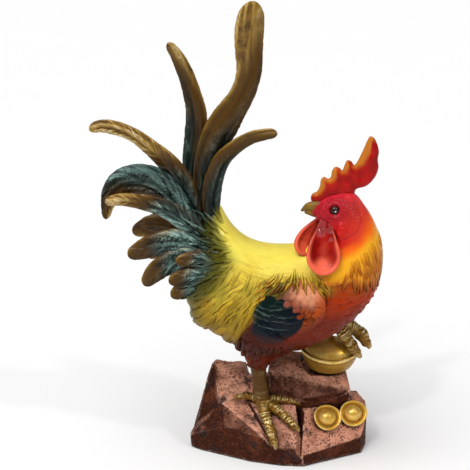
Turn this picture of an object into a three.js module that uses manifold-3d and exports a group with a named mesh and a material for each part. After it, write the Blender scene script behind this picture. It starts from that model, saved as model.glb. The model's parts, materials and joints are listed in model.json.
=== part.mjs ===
// Painted resin rooster on a faceted rock, one foot raised on a gold ingot. Millimetres, +Z up.
// +X is the way the breast faces. The head is turned back to -X. -Y is the near side.
import * as THREE from "three";
import { mergeVertices } from "three/addons/utils/BufferGeometryUtils.js";
import { ConvexGeometry } from "three/addons/geometries/ConvexGeometry.js";
import Module from "manifold-3d";

const wasm = await Module();
wasm.setup();

// Driving dimensions
const SEAT_GAP = 0.3; // clearance left all round at every seat, socket and bore
const PAD_THICK = 1.6; // soft sheet under the rock
const PAD_INSET = 4; // from the rock's outline to the sheet's
const ROCK_FLOOR = 0.8; // underside of the rock's rim
const RAIL_RINGS = 24; // sections along the body
const BODY_POINTS = 20; // points round a body section
const BODY_FULLNESS = 2.25; // 2 is an ellipse, more is squarer
const ROD_RADIUS = 1.6; // steel rod through the standing leg
const PIN_RADIUS = 2; // steel pin through the large ingot
const PEG_RADIUS = 4; // locating peg on the back of a wing
const SHANK_RADIUS = 6.9;
const TOE_RADIUS = 4.1;
const BLADE_THICK = 4.6; // tail feather, at its root
const TAIL_RISE = 199.5; // from the tail root up to the tip of the tallest sickle
const TAIL_SWEEP = 94; // from the tail root back to the end of the gold sickle
const COMB_THICK = 7.5;
const EYE_RADIUS = 3.7;

const NEAR = -1;
const FAR = 1;
const Y_AXIS = new THREE.Vector3(0, 1, 0);
const vec = (x, y, z) => new THREE.Vector3(x, y, z);

// Smooth value at t (0 to 1) of a list of numbers spread evenly along a piece
function along(values, t) {
  const last = values.length - 1;
  const f = Math.min(Math.max(t, 0), 1) * last;
  const i = Math.min(Math.floor(f), last - 1);
  const at = (k) => values[Math.min(Math.max(k, 0), last)];
  const [a, b, c, d] = [at(i - 1), at(i), at(i + 1), at(i + 2)];
  const u = f - i;
  return b + 0.5 * u * (c - a + u * (2 * a - 5 * b + 4 * c - d + u * (3 * (b - c) + d - a)));
}

// A closed geometry as a solid that can be united and cut
function solid(geometry) {
  const plain = geometry.index ? geometry.toNonIndexed() : geometry.clone();
  plain.deleteAttribute("normal");
  plain.deleteAttribute("uv");
  const merged = mergeVertices(plain, 1e-4);
  return new wasm.Manifold(
    new wasm.Mesh({
      numProp: 3,
      vertProperties: new Float32Array(merged.attributes.position.array),
      triVerts: new Uint32Array(merged.index.array),
    }),
  );
}

// The largest of the bodies that a cut leaves
function largest(made) {
  const bodies = made.decompose();
  return bodies.reduce((best, next) => (next.volume() > best.volume() ? next : best));
}

function unite(solids) {
  return solids.reduce((all, next) => all.add(next));
}

// Back to a three.js geometry
function geometryOf(made) {
  const mesh = made.getMesh();
  const geometry = new THREE.BufferGeometry();
  geometry.setAttribute("position", new THREE.BufferAttribute(new Float32Array(mesh.vertProperties), 3));
  geometry.setIndex(new THREE.BufferAttribute(new Uint32Array(mesh.triVerts), 1));
  const flat = geometry.toNonIndexed();
  flat.computeVertexNormals();
  return flat;
}

// Skin over a list of rings with the same number of points, closed at both ends
function loft(rings) {
  const count = rings[0].length;
  const points = rings.flat().map((p) => [p.x, p.y, p.z]);
  const centre = (ring) => ring.reduce((sum, p) => sum.add(p), vec(0, 0, 0)).divideScalar(count);
  points.push(centre(rings[0]).toArray(), centre(rings[rings.length - 1]).toArray());
  const start = rings.length * count;
  const faces = [];
  for (let r = 0; r + 1 < rings.length; r++) {
    for (let k = 0; k < count; k++) {
      const a = r * count + k;
      const b = r * count + ((k + 1) % count);
      faces.push([a, b, b + count], [a, b + count, a + count]);
    }
  }
  for (let k = 0; k < count; k++) {
    const next = (k + 1) % count;
    const top = (rings.length - 1) * count;
    faces.push([start, next, k], [start + 1, top + k, top + next]);
  }
  let volume = 0;
  for (const [a, b, c] of faces) {
    volume += vec(...points[a]).dot(vec(...points[b]).cross(vec(...points[c])));
  }
  const turned = volume < 0 ? faces.map(([a, b, c]) => [a, c, b]) : faces;
  const geometry = new THREE.BufferGeometry();
  geometry.setAttribute("position", new THREE.Float32BufferAttribute(points.flat(), 3));
  geometry.setIndex(turned.flat());
  return solid(geometry);
}

// Flat, cupped and ribbed section that is swept along a feather: across, through
const FEATHER_SECTION = [
  [-1, -0.4],
  [-0.45, -0.85],
  [0.45, -0.85],
  [1, -0.4],
  [1, 0.4],
  [0.3, 0.8],
  [0, 1.35],
  [-0.3, 0.8],
  [-1, 0.4],
];
// Plainer section for small feathers in relief
const RELIEF_SECTION = [
  [-1, -0.2],
  [0, -1],
  [1, -0.2],
  [0, 1],
];

// A feather: section swept along a path, with its own width, thickness, twist and a rounded tip
function feather(spec, grow = 0) {
  const curve = new THREE.CatmullRomCurve3(spec.path, false, "centripetal");
  const section = spec.section ?? FEATHER_SECTION;
  const steps = spec.steps ?? 9;
  const tip = spec.tip ?? 0.12;
  const stations = [];
  for (let i = 0; i <= steps; i++) stations.push(((1 - tip) * i) / steps);
  for (const share of spec.ends ?? [0.5, 0.82, 1]) stations.push(1 - tip + tip * share);
  const reach = grow / curve.getLength();
  const rings = stations.map((t, i) => {
    const tangent = curve.getTangentAt(t);
    const point = curve.getPointAt(t);
    if (i === 0) point.addScaledVector(tangent, -grow);
    if (i === stations.length - 1) point.addScaledVector(tangent, grow);
    const side = vec(0, 0, 0).crossVectors(tangent, Y_AXIS).normalize();
    side.applyAxisAngle(tangent, THREE.MathUtils.degToRad(along(spec.twist ?? [0, 0], t)));
    const face = vec(0, 0, 0).crossVectors(tangent, side);
    const past = Math.max(0, (t - (1 - tip)) / tip);
    const round = Math.max(0.22, Math.sqrt(Math.max(0, 1 - past ** (spec.point ?? 2))));
    const half = (along(spec.width, t) / 2) * round + grow;
    const thick = (along(spec.thick ?? [BLADE_THICK, BLADE_THICK, 3.6, 2.8], t) / 2) * (0.6 + 0.4 * round) + grow;
    const cup = along(spec.cup ?? [0.1, 0.16, 0.16, 0.1], t + reach) * half;
    return section.map(([u, v]) =>
      point
        .clone()
        .addScaledVector(side, u * half)
        .addScaledVector(face, v * thick + cup * (1 - u * u) - cup * 0.5),
    );
  });
  return loft(rings);
}

// Round bar along a path; ripple makes the ring scales of a leg
function bar(path, radii, { points = 8, steps = 8, ripple = 0, scales = 0, grow = 0 } = {}) {
  const curve = new THREE.CatmullRomCurve3(path, false, "centripetal");
  const frames = curve.computeFrenetFrames(steps, false);
  const rings = [];
  for (let i = 0; i <= steps; i++) {
    const t = i / steps;
    const centre = curve.getPointAt(t);
    if (i === 0) centre.addScaledVector(curve.getTangentAt(0), -grow);
    if (i === steps) centre.addScaledVector(curve.getTangentAt(1), grow);
    const radius = along(radii, t) * (1 + ripple * Math.cos(2 * Math.PI * scales * t)) + grow;
    const ring = [];
    for (let k = 0; k < points; k++) {
      const a = (2 * Math.PI * k) / points;
      ring.push(
        centre
          .clone()
          .addScaledVector(frames.normals[i], radius * Math.cos(a))
          .addScaledVector(frames.binormals[i], radius * Math.sin(a)),
      );
    }
    rings.push(ring);
  }
  return loft(rings);
}

// Straight rod between two points
function rod(from, to, radius, grow = 0) {
  return bar([from, to], [radius, radius], { points: 12, steps: 1, grow });
}

function mirrored(made) {
  return made.mirror([0, 1, 0]);
}

// Body: two rails, from the tail root over the back to the throat (inner) and from the rump under the
// belly and up the breast to the crown (outer). Each row: inner x, z, outer x, z, half width, side shift.
const BODY_ROWS = [
  [-55, 226, -74, 188, 9, 0],
  [-50, 219, -77, 166, 17, 0],
  [-46, 211, -78, 142, 25, 0],
  [-40, 202, -73, 119, 31, 0],
  [-31, 193.5, -57, 106, 35, 0],
  [-19, 187.5, -34, 98, 38.5, 0],
  [-5, 185, -8, 93, 40.5, 0],
  [7, 185, 20, 98, 40.5, 0],
  [15, 186.5, 45, 111, 38.5, 0],
  [20, 189, 65, 128, 35, -1],
  [23.5, 192, 79, 150, 31, -2],
  [26, 195.5, 81.5, 174, 27.5, -3],
  [28, 200, 79, 197, 24, -4],
  [30, 205, 71, 216.5, 20.5, -5],
  [31, 209, 60, 228.5, 17.5, -6],
  [28.5, 211, 46, 232.5, 14.5, -7],
  [27, 213, 35, 230, 10.5, -8],
  [26, 215.5, 28.5, 225, 6, -8.5],
];

// Point of the body's skin: s counts rows, turn is 0 on the outer rail and -90 degrees on the near side
function skin(s, turn, grow = 0) {
  const t = s / (BODY_ROWS.length - 1);
  const [ix, iz, ox, oz, half, shift] = BODY_ROWS[0].map((_, k) =>
    along(
      BODY_ROWS.map((row) => row[k]),
      t,
    ),
  );
  const reach = vec(ox - ix, 0, oz - iz).multiplyScalar(0.5);
  const length = reach.length();
  reach.normalize();
  const angle = THREE.MathUtils.degToRad(turn);
  const [c, k] = [Math.cos(angle), Math.sin(angle)];
  const fill = (Math.abs(c) ** BODY_FULLNESS + Math.abs(k) ** BODY_FULLNESS) ** (-1 / BODY_FULLNESS);
  return vec((ix + ox) / 2, shift + (half + grow) * k * fill, (iz + oz) / 2).addScaledVector(
    reach,
    (length + grow) * c * fill,
  );
}

function bodyLoft(grow = 0) {
  const rings = [];
  for (let i = 0; i <= RAIL_RINGS; i++) {
    const s = (i / RAIL_RINGS) * (BODY_ROWS.length - 1);
    const ring = [];
    for (let k = 0; k < BODY_POINTS; k++) ring.push(skin(s, (360 * k) / BODY_POINTS, grow));
    rings.push(ring);
  }
  return loft(rings);
}

// Outward direction of the skin
function outward(s, turn) {
  const ds = skin(s + 0.05, turn).sub(skin(s - 0.05, turn));
  const dt = skin(s, turn + 1).sub(skin(s, turn - 1));
  const normal = ds.cross(dt).normalize();
  const centre = skin(s, 0).add(skin(s, 180)).multiplyScalar(0.5);
  return normal.dot(skin(s, turn).sub(centre)) < 0 ? normal.negate() : normal;
}

// A pointed lock of feathers lying on the skin, from one place to another
function lock(from, to, width, thick) {
  const path = [];
  const rings = [];
  const shares = [0, 0.4, 0.8, 1];
  const widths = [0.7, 1, 0.72, 0.12];
  const lifts = [-0.9, 0.25, 0.4, 0];
  for (const share of shares) {
    const [s, turn] = [0, 1].map((k) => from[k] + (to[k] - from[k]) * share);
    path.push([skin(s, turn), outward(s, turn)]);
  }
  path.forEach(([point, up], i) => {
    const before = path[Math.max(0, i - 1)][0];
    const after = path[Math.min(path.length - 1, i + 1)][0];
    const side = after.clone().sub(before).cross(up).normalize();
    const half = (width / 2) * widths[i];
    rings.push(
      RELIEF_SECTION.map(([u, v]) =>
        point
          .clone()
          .addScaledVector(side, u * half)
          .addScaledVector(up, (v * 0.8 + lifts[i]) * thick),
      ),
    );
  });
  return loft(rings);
}

// Neck mantle: a ring of pointed hackle locks whose tips lie over breast and back
function mantleLocks() {
  const locks = [];
  const count = 11;
  for (let k = 0; k < count; k++) {
    const turn = -180 + (360 * (k + 0.5)) / count;
    const edge = 9.2 + 1.3 * Math.cos(THREE.MathUtils.degToRad(turn)) + (k % 2) * 0.35;
    locks.push(lock([edge + 2.2, turn], [edge, turn * 0.985], 20, 2.4));
  }
  return locks;
}

// Saddle: longer locks that hang over the thigh and the rear edge of the rump, on both sides
function saddleLocks(side) {
  const locks = [];
  const count = 5;
  for (let k = 0; k < count; k++) {
    const share = k / (count - 1);
    const from = [1.9 + 3.1 * share, side * (62 + 26 * share)];
    const to = [1.4 + 3.0 * share + (k % 2) * 0.3, side * (3 + 34 * share)];
    locks.push(lock(from, to, 18, 3.2));
  }
  return locks;
}

// Thigh: thick tapered sleeve from the flank down to the top of the shank
const HIP = vec(-14, -20, 118);
const KNEE = vec(-19.5, -13.5, 84);
const ANKLE = vec(-16, -8, 50);
function standingThigh() {
  return bar([vec(-8, -22, 128), HIP, vec(-18.5, -15, 97), KNEE], [24, 22, 15, 9.6], { points: 10, steps: 5 });
}
const RAISED_HUB = vec(48, 13, 111);
function raisedThigh() {
  return bar([vec(-2, 22, 124), vec(18, 22, 114), vec(38, 16, 116)], [20, 17, 11], { points: 12, steps: 4 });
}

// Tail feathers: path of each from its root. Each point: back in shares of the sweep, y, up in shares of the rise.
const TAIL_ROOT = vec(-62, 0, 190);
const fan = ([back, y, up]) => vec(TAIL_ROOT.x - back * TAIL_SWEEP, y, TAIL_ROOT.z + up * TAIL_RISE);
const SICKLES = {
  sickle_tall: {
    path: [[0, 0, 0], [0.036, 0, 0.11], [0.027, 0, 0.221], [0, -1, 0.328], [-0.072, -2, 0.436],
      [-0.191, -2, 0.539], [-0.311, -1, 0.632], [-0.364, 0, 0.722], [-0.364, 1, 0.822], [-0.372, 1, 0.907],
      [-0.404, 1, 1]],
    width: [12, 15, 16, 19, 22, 24, 20, 19, 21, 22, 17],
    twist: [0, 5, 10, 0, -12, -20, -5, 8, 0],
    thick: [5, 5, 4.8, 4.4, 4],
    steps: 12,
    tip: 0.06,
  },
  sickle_second: {
    path: [[0.064, 7, 0.01], [0.101, 8, 0.1], [0.126, 9, 0.208], [0.123, 10, 0.313], [0.101, 11, 0.419],
      [0.09, 11, 0.524], [0.122, 11, 0.607], [0.178, 11, 0.692], [0.253, 10, 0.769], [0.33, 9, 0.825]],
    width: [11, 13, 15, 17, 18, 17.5, 15, 13, 11, 7],
    twist: [0, -8, -12, 0, 10, 0],
    tip: 0.12,
    point: 1.3,
    steps: 11,
  },
  sickle_front: {
    path: [[-0.043, -7, 0.06], [-0.037, -8, 0.168], [-0.064, -9, 0.276], [-0.133, -11, 0.361], [-0.255, -13, 0.421],
      [-0.39, -15, 0.461], [-0.526, -17, 0.479], [-0.606, -18, 0.484]],
    width: [10, 13, 15, 14.5, 13.5, 12, 10.5, 8],
    twist: [0, 10, 15, 20, 10],
    tip: 0.13,
    point: 1.5,
  },
  sickle_gold: {
    path: [[0.085, -7, 0.05], [0.149, -8, 0.168], [0.232, -9, 0.276], [0.34, -11, 0.351], [0.485, -13, 0.419],
      [0.628, -14, 0.471], [0.779, -15, 0.501], [0.91, -15, 0.509], [1, -15, 0.494]],
    width: [12, 15, 17, 18, 16, 13, 11, 11, 8],
    twist: [0, -8, -15, -8, 0],
    tip: 0.1,
    point: 1.7,
    steps: 10,
  },
  sickle_hook: {
    path: [[0.053, -14, 0.04], [0.149, -15, 0.108], [0.25, -16, 0.19], [0.359, -18, 0.261], [0.485, -20, 0.306],
      [0.638, -21, 0.316], [0.761, -22, 0.298], [0.838, -22, 0.253], [0.864, -22, 0.19],
      [0.872, -21, 0.128]],
    width: [12, 14, 16, 18, 19, 17, 14, 11, 9, 6],
    twist: [0, -10, -18, -10, 0, 8],
    tip: 0.1,
    point: 1.5,
    steps: 11,
  },
  sickle_low: {
    path: [[0.021, -20.5, 0.03], [0.106, -22, 0.075], [0.23, -24, 0.135], [0.357, -26, 0.178], [0.484, -28, 0.201],
      [0.612, -29, 0.216], [0.739, -30, 0.223], [0.867, -30, 0.213]],
    width: [12, 14, 16, 16, 14.5, 12, 10, 7.5],
    twist: [0, -10, -15, -8, 0],
    tip: 0.12,
    point: 1.6,
  },
  sickle_behind: {
    path: [[0.085, 13.5, -0.01], [0.213, 15, 0.02], [0.362, 17, 0.04], [0.489, 18, 0.048], [0.612, 19, 0.045]],
    width: [12, 15, 16, 14, 9],
    tip: 0.2,
    steps: 5,
  },
};
// Shorter coverts over the tail root, seen on the near side and repeated on the far one
const COVERTS = {
  covert_top: {
    path: [vec(-60, -22, 188), vec(-75.6, -26, 195), vec(-90.2, -28.5, 198), vec(-104, -30, 196),
      vec(-115, -30.5, 192), vec(-126, -31, 187)],
    width: [13, 15, 17, 16, 13.5, 8],
    twist: [12, 10, 0],
  },
  covert_hook: {
    path: [vec(-56, -24, 179), vec(-71.6, -29.5, 184), vec(-85.3, -32.5, 184), vec(-97.5, -34, 179),
      vec(-106.5, -34.5, 171.5), vec(-113, -35, 163)],
    width: [12, 14, 15.5, 14.5, 12.5, 7.5],
    twist: [12, 8, 0],
  },
  covert_mid: {
    path: [vec(-49, -30, 181), vec(-62, -34, 185.5), vec(-75.4, -36, 186), vec(-87, -37, 184)],
    width: [10, 11, 10.5, 6.5],
    twist: [12, 8, 0],
  },
  covert_low: {
    path: [vec(-53, -29.5, 168), vec(-67, -33, 171.5), vec(-79, -34.5, 170.5), vec(-93, -35, 166)],
    width: [10, 12, 12, 7.5],
    twist: [8, 4, 0],
  },
  covert_last: {
    path: [vec(-56, -30, 157.5), vec(-69, -32, 160), vec(-80, -33, 158.5), vec(-91.5, -33, 153)],
    width: [9.5, 12, 12, 7.5],
    twist: [4, 0, 0],
  },
};

const tail = [];
for (const [name, drawn] of Object.entries(SICKLES)) {
  const spec = { ...drawn, path: drawn.path.map(fan) };
  tail.push({ name, made: feather(spec), seat: feather(spec, SEAT_GAP) });
}
for (const [name, spec] of Object.entries(COVERTS)) {
  const full = { steps: 5, tip: 0.2, point: 1.7, thick: [4.4, 4.2, 3.4, 2.8], ...spec };
  const near = { made: feather(full), seat: feather(full, SEAT_GAP) };
  tail.push({ name: `${name}_near`, ...near });
  if (name !== "covert_last" && name !== "covert_mid") {
    tail.push({ name: `${name}_far`, made: mirrored(near.made), seat: mirrored(near.seat) });
  }
}
// Where two feathers cross at the root, the later one is relieved round the earlier one
tail.forEach((piece, i) => {
  for (const other of tail.slice(0, i)) {
    if (piece.made.intersect(other.seat).volume() > 0) piece.made = largest(piece.made.subtract(other.seat));
  }
});

// Wing: primaries and covert lobes laid on the flank, with a rolled leading edge and a locating peg
const WING_PEG = [vec(6, -47, 137), vec(6, -26, 137)];
function flank(x, z, lift) {
  // Height of the flank over the middle plane, from the section that passes through the place
  let best = null;
  for (let s = 3; s <= 11; s += 0.25) {
    for (let turn = -150; turn <= -30; turn += 5) {
      const p = skin(s, turn);
      const off = (p.x - x) ** 2 + (p.z - z) ** 2;
      if (!best || off < best.off) best = { off, y: p.y };
    }
  }
  return vec(x, best.y - lift, z);
}
function wingLobe(points, width, lift, thick, steps = 3) {
  const path = points.map(([x, z], i) => flank(x, z, lift - (i === 0 ? 1.2 : 0)));
  return feather({
    path,
    width,
    thick: [thick, thick, thick * 0.7],
    section: RELIEF_SECTION,
    ends: [0.65, 1],
    steps,
    tip: 0.24,
    point: 1.8,
    cup: [0, 0],
    twist: [0, 0],
  });
}
function wing() {
  const lobes = [wingLobe([[31, 141], [14, 139], [-8, 136]], [30, 42, 36], 0.2, 7, 1)];
  const primaries = [
    [[12, 150], [-6, 150.5], [-25, 147]],
    [[12, 141], [-6, 141], [-31, 138.5]],
    [[10, 132], [-6, 131], [-30, 128.5]],
    [[6, 124], [-4, 121.5], [-20, 119]],
  ];
  primaries.forEach((points, i) => {
    lobes.push(wingLobe(points, [10, 11.6, 11.6, 10.4], 2.2 + 0.4 * i, 6, 2));
  });
  for (let column = 0; column < 2; column++) {
    for (let row = 0; row < 4; row++) {
      const x = 10 + 12 * column;
      const z = 153.5 - 9.6 * row - 1.5 * column + 1.5 * (row % 2);
      lobes.push(wingLobe([[x + 13, z], [x + 3, z - 0.6], [x - 6, z - 1.8]], [9, 12, 11.5], 3.4 + 1.2 * column, 6.4, 1));
    }
  }
  const arc = [[27, 160], [34, 150], [35.5, 138], [30, 126], [14, 117.5], [-6, 113]];
  lobes.push(
    bar(
      arc.map(([x, z]) => flank(x, z, 2.6)),
      [2.6, 4.2, 4.8, 4.4, 3.4, 2],
      { points: 6, steps: 6 },
    ),
  );
  return unite(lobes);
}

// Comb: tooth tips and the valleys between them, from the beak to the tall back blade
const COMB_TIPS = [[24, 233.5], [30.5, 243.5], [40, 255.5], [50.5, 261], [69.5, 281.5]];
const COMB_VALLEYS = [[29.5, 236], [37.5, 245.5], [46.8, 249.5], [57.5, 254.5]];
function combSolid(grow = 0) {
  const shape = new THREE.Shape();
  shape.moveTo(26.5, 222);
  shape.quadraticCurveTo(22.5, 227, ...COMB_TIPS[0]);
  COMB_VALLEYS.forEach(([vx, vz], i) => {
    const [ax, az] = COMB_TIPS[i];
    const [bx, bz] = COMB_TIPS[i + 1];
    shape.quadraticCurveTo(ax + (vx - ax) * 0.75, az + 0.8, vx, vz);
    shape.quadraticCurveTo(bx - (bx - vx) * 0.7, vz + (bz - vz) * 0.75, bx, bz);
  });
  shape.quadraticCurveTo(76, 279, 78, 267);
  shape.quadraticCurveTo(75.5, 261, 78.3, 253);
  shape.quadraticCurveTo(77, 241, 66, 236.5);
  shape.lineTo(58, 228);
  shape.quadraticCurveTo(42, 227.5, 34, 222);
  shape.closePath();
  const bevel = 2.4 + grow;
  const geometry = new THREE.ExtrudeGeometry(shape, {
    depth: COMB_THICK - 4.8,
    bevelThickness: bevel,
    bevelSize: 1.1 + grow,
    bevelOffset: -1.1,
    bevelSegments: 2,
    curveSegments: 2,
  });
  geometry.rotateX(Math.PI / 2);
  geometry.translate(0, -6 + (COMB_THICK - 4.8) / 2, 0);
  return solid(geometry);
}

// Beak: hooked upper bill over a shorter lower one, with a tenon into the face
function beakSolid(grow = 0) {
  const upper = bar(
    [vec(37, -8.2, 219.5), vec(29, -8.4, 221.5), vec(21, -8.7, 222.2), vec(15, -9, 218.6)],
    [5.2, 6, 3.7, 1],
    { points: 8, steps: 6, grow },
  );
  const lower = bar(
    [vec(36, -8.2, 216), vec(27, -8.4, 217), vec(18, -8.8, 218)],
    [4, 3.9, 1.6],
    { points: 8, steps: 4, grow },
  );
  return upper.add(lower);
}

// Wattles: two cupped drops hanging from the throat
function wattleSolid(which, grow = 0) {
  const path =
    which === NEAR
      ? [vec(36, -15, 213), vec(34, -22, 203), vec(32.7, -26, 193), vec(32.7, -26.5, 182), vec(33, -25, 171)]
      : [vec(33, -1, 210), vec(28, 1, 202), vec(21.5, 3, 194), vec(17, 4, 184), vec(17.5, 4, 172)];
  return feather(
    {
      path,
      width: which === NEAR ? [9, 15, 23, 29, 29] : [7, 10, 15, 18, 18],
      thick: [5, 5.4, 6, 6, 5],
      cup: [0, 0.05, 0.12, 0.14],
      twist: which === NEAR ? [-10, -14, -14] : [-20, -20, -20],
      tip: 0.34,
      steps: 6,
    },
    grow,
  );
}

function eyeSolid(which, grow = 0) {
  const bead = new THREE.SphereGeometry(EYE_RADIUS + grow, 10, 6);
  bead.translate(42, which === NEAR ? -20.3 : 8.2, 222.8);
  return solid(bead);
}

// Legs: scaled shank, three forward toes and a back toe, each ending in a claw
function toe(path, radius, grow = 0) {
  const radii = [radius, radius * 0.96, radius * 0.9, radius * 0.8, radius * 0.35];
  return bar(path, radii, { points: 6, steps: 8, ripple: 0.07, scales: 4, grow });
}
function standingLegSolid(grow = 0) {
  const shank = bar([vec(-20.5, -15, 94), KNEE, vec(-18, -10.8, 68), ANKLE], [5.6, 7.6, SHANK_RADIUS, 7.8], {
    points: 10,
    steps: 10,
    ripple: 0.04,
    scales: 5,
    grow,
  });
  const toes = [
    toe([ANKLE, vec(-14, -17, 41), vec(-9, -26, 29.5), vec(-5.2, -34.5, 18.5)], TOE_RADIUS + 0.4, grow),
    toe([ANKLE, vec(-6, -13, 45), vec(5, -20, 38), vec(13.5, -26, 30.5)], TOE_RADIUS + 0.3, grow),
    toe([ANKLE, vec(-5, -5, 49), vec(7, -2.5, 46.5), vec(19, -1, 43)], TOE_RADIUS - 0.4, grow),
    toe([ANKLE, vec(-23, -4, 50.5), vec(-30, -1, 50.5), vec(-37, 1.5, 48)], TOE_RADIUS - 0.6, grow),
  ];
  return unite([shank, ...toes]);
}
function raisedLegSolid(grow = 0) {
  const stub = bar([vec(34, 16, 124), vec(42, 15, 118), RAISED_HUB], [6, 7, 7], { points: 10, steps: 4, grow });
  const toes = [
    toe([RAISED_HUB, vec(54, 8, 104), vec(60, 6, 95), vec(67, 5, 85.5)], TOE_RADIUS + 0.6, grow),
    toe([RAISED_HUB, vec(58, 18, 107), vec(69, 21, 99), vec(76, 22, 87)], TOE_RADIUS + 0.9, grow),
    toe([RAISED_HUB, vec(46, 24, 106), vec(44, 36, 98), vec(43, 44, 87)], TOE_RADIUS, grow),
  ];
  return unite([stub, ...toes]);
}

// Ingot: boat-shaped hull with a rolled rim, a hollow and a dome in the middle
function ingotSolid({ rx, ry, height, dome, rise, points = 20 }, grow = 0, filled = false) {
  const hullRings = [
    [0.45, 0],
    [0.62, 0.1],
    [0.86, 0.55],
    [0.98, 0.92],
    [1, 1],
  ];
  const topRings = [
    [0.93, 1.03],
    [0.84, 0.94],
    [0.62, 0.86],
    [0.56, 1.15],
    [0.4, 1.42],
    [0.16, 1.56],
  ];
  const profile = [...hullRings, ...(filled ? [[1.05, 2.2]] : topRings)];
  const rings = profile.map(([r, h]) => {
    const ring = [];
    for (let k = 0; k < points; k++) {
      const a = (2 * Math.PI * k) / points;
      const lift = rise * Math.cos(a) ** 2 * Math.min(1, h) * Math.max(0, r - 0.55) * 2.2;
      const z = h <= 1.03 ? h * height : height + (h - 1) * (dome / 0.56);
      ring.push(vec((rx * r + grow) * Math.cos(a), (ry * r + grow) * Math.sin(a), z + lift + Math.sign(h - 1) * grow));
    }
    return ring;
  });
  return loft(rings);
}
function placed(made, position, up, turnDegrees = 0) {
  const tilt = new THREE.Quaternion().setFromUnitVectors(vec(0, 0, 1), up);
  const spin = new THREE.Quaternion().setFromAxisAngle(vec(0, 0, 1), THREE.MathUtils.degToRad(turnDegrees));
  const matrix = new THREE.Matrix4().compose(position, tilt.multiply(spin), vec(1, 1, 1));
  return made.transform([...matrix.elements]);
}

// Rock: convex boulders from their corners, united
const hull = (corners) => solid(new ConvexGeometry(corners.map((c) => vec(...c))));
const FACET = { left: vec(17, -35.5, 10), right: vec(69.5, -8.7, 15), top: vec(20, -10, 38.6) };
const FACET_UP = FACET.right.clone().sub(FACET.left).cross(FACET.top.clone().sub(FACET.left)).normalize();
const SMALL = { rx: 12.2, ry: 11.4, height: 5.5, dome: 4.5, rise: 0.8, points: 12 };
const LARGE = { rx: 25.5, ry: 22, height: 17, dome: 13.5, rise: 3, points: 16 };
const LARGE_AT = vec(43, 20, 65.8);
const BEDDED = 1.2; // depth that a small ingot sits in the rock
const SMALL_UP = [FACET_UP, FACET_UP.clone().add(vec(0.02, -0.22, 0)).normalize()];
const SMALL_AT = [vec(38.1, -8, 31.8), vec(61.1, 2, 31.9)].map((at) => at.addScaledVector(FACET_UP, -BEDDED));

const FLOOR = [[-77, 4], [-69, -3], [-48, -13], [-26, -26], [-1, -33.6], [18.6, -35.5], [70, -8.7], [75, 9],
  [68, 38], [44, 50], [-50, 50], [-77, 30]];
const floorAt = (list, z) => list.map((i) => [...FLOOR[i], z]);
const BOULDERS = [
  // front left wedge with the large speckled facet
  [...floorAt([0, 1, 2, 3, 4, 10, 11], ROCK_FLOOR), [-78, 2, 13], [-48, -12.6, 26.4], [-14.5, -30, 24.3],
    [-5.2, -33, 15.6], [-50, 2, 42.5], [-28, 2, 40.4], [-20, -10, 33], [-60, 34, 40]],
  // middle wedge under the foot
  [...floorAt([3, 4, 5], ROCK_FLOOR), [10, 30, ROCK_FLOOR], [-30, 30, ROCK_FLOOR], [-5.2, -33, 15.6],
    [12.5, -33.5, 16], [9.3, -26, 26.2], [-14, -22, 31], [-27, 3, 43], [-9, -2, 46], [13, -6, 44], [12, -12, 38]],
  // right wedge that carries the small ingots
  [...floorAt([5, 6, 7, 8], ROCK_FLOOR), [5, 30, ROCK_FLOOR], [17, -35.5, 10], [69.5, -8.7, 15], [75, 7, 30],
    [74.4, 13.5, 39], [60.7, 12.3, 44.2], [20, -10, 38.6], [68, 34, 40], [12, 30, 40]],
  // left boulder
  [...floorAt([0, 2, 10, 11], ROCK_FLOOR), [-10, 50, ROCK_FLOOR], [-63.5, 20, 56], [-59, 29, 68.5],
    [-31, 30, 60], [-29, 44, 60], [-56, 44, 66], [-51.5, 1, 39], [-27, 16, 50]],
  // right boulder with the flat top for the large ingot
  [...floorAt([8, 9], ROCK_FLOOR), [-14, 12, ROCK_FLOOR], [-14, 50, ROCK_FLOOR], [60, 8, ROCK_FLOOR], [-10.7, 4, 70.4],
    [-8, 20, 73], [2, 20, 76.5], [16, 18, 74.5], [9, 34, 78], [-6, 40, 72], [-9, -3, 53.8], [13.2, -5, 48.2],
    [34, -4, 43], [60, 2, 52.5], [27, 9, 66], [48, 9, 66], [56, 18, 66], [57, 40, 66], [20, 44, 72]],
  // low wedge that closes the cleft behind the foot
  [[-50, 20, ROCK_FLOOR], [4, 20, ROCK_FLOOR], [-50, 48, ROCK_FLOOR], [4, 48, ROCK_FLOOR], [-34, 12, 44],
    [-4, 12, 48], [-36, 24, 55], [-4, 24, 57], [-36, 42, 51], [-4, 42, 54]],
];
const SEAT_TOP = LARGE_AT.z - SEAT_GAP;

function rockSolid() {
  let rock = unite(BOULDERS.map(hull));
  // flat seat for the large ingot
  const seat = new THREE.CylinderGeometry(30, 30, 30, 24);
  seat.rotateX(Math.PI / 2);
  seat.translate(LARGE_AT.x + 4, LARGE_AT.y + 6, SEAT_TOP + 15);
  rock = rock.subtract(solid(seat));
  return rock;
}

// Sheet under the rock, and the shallow pocket that it lies in
function padOutline(inset) {
  const count = FLOOR.length;
  const corner = (i) => new THREE.Vector2(...FLOOR[(i + count) % count]);
  // each corner moves to where its two edges meet after both move inwards
  return FLOOR.map((_, i) => {
    const here = corner(i);
    const before = here.clone().sub(corner(i - 1)).normalize();
    const after = corner(i + 1).sub(here).normalize();
    const inward = new THREE.Vector2(-before.y - after.y, before.x + after.x).normalize();
    const share = inward.dot(new THREE.Vector2(-before.y, before.x));
    return here.addScaledVector(inward, inset / Math.max(0.5, share));
  });
}
function padSolid(inset, bottom, top) {
  const geometry = new THREE.ExtrudeGeometry(new THREE.Shape(padOutline(inset)), {
    depth: top - bottom,
    bevelEnabled: false,
  });
  geometry.translate(0, 0, bottom);
  return solid(geometry);
}

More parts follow.
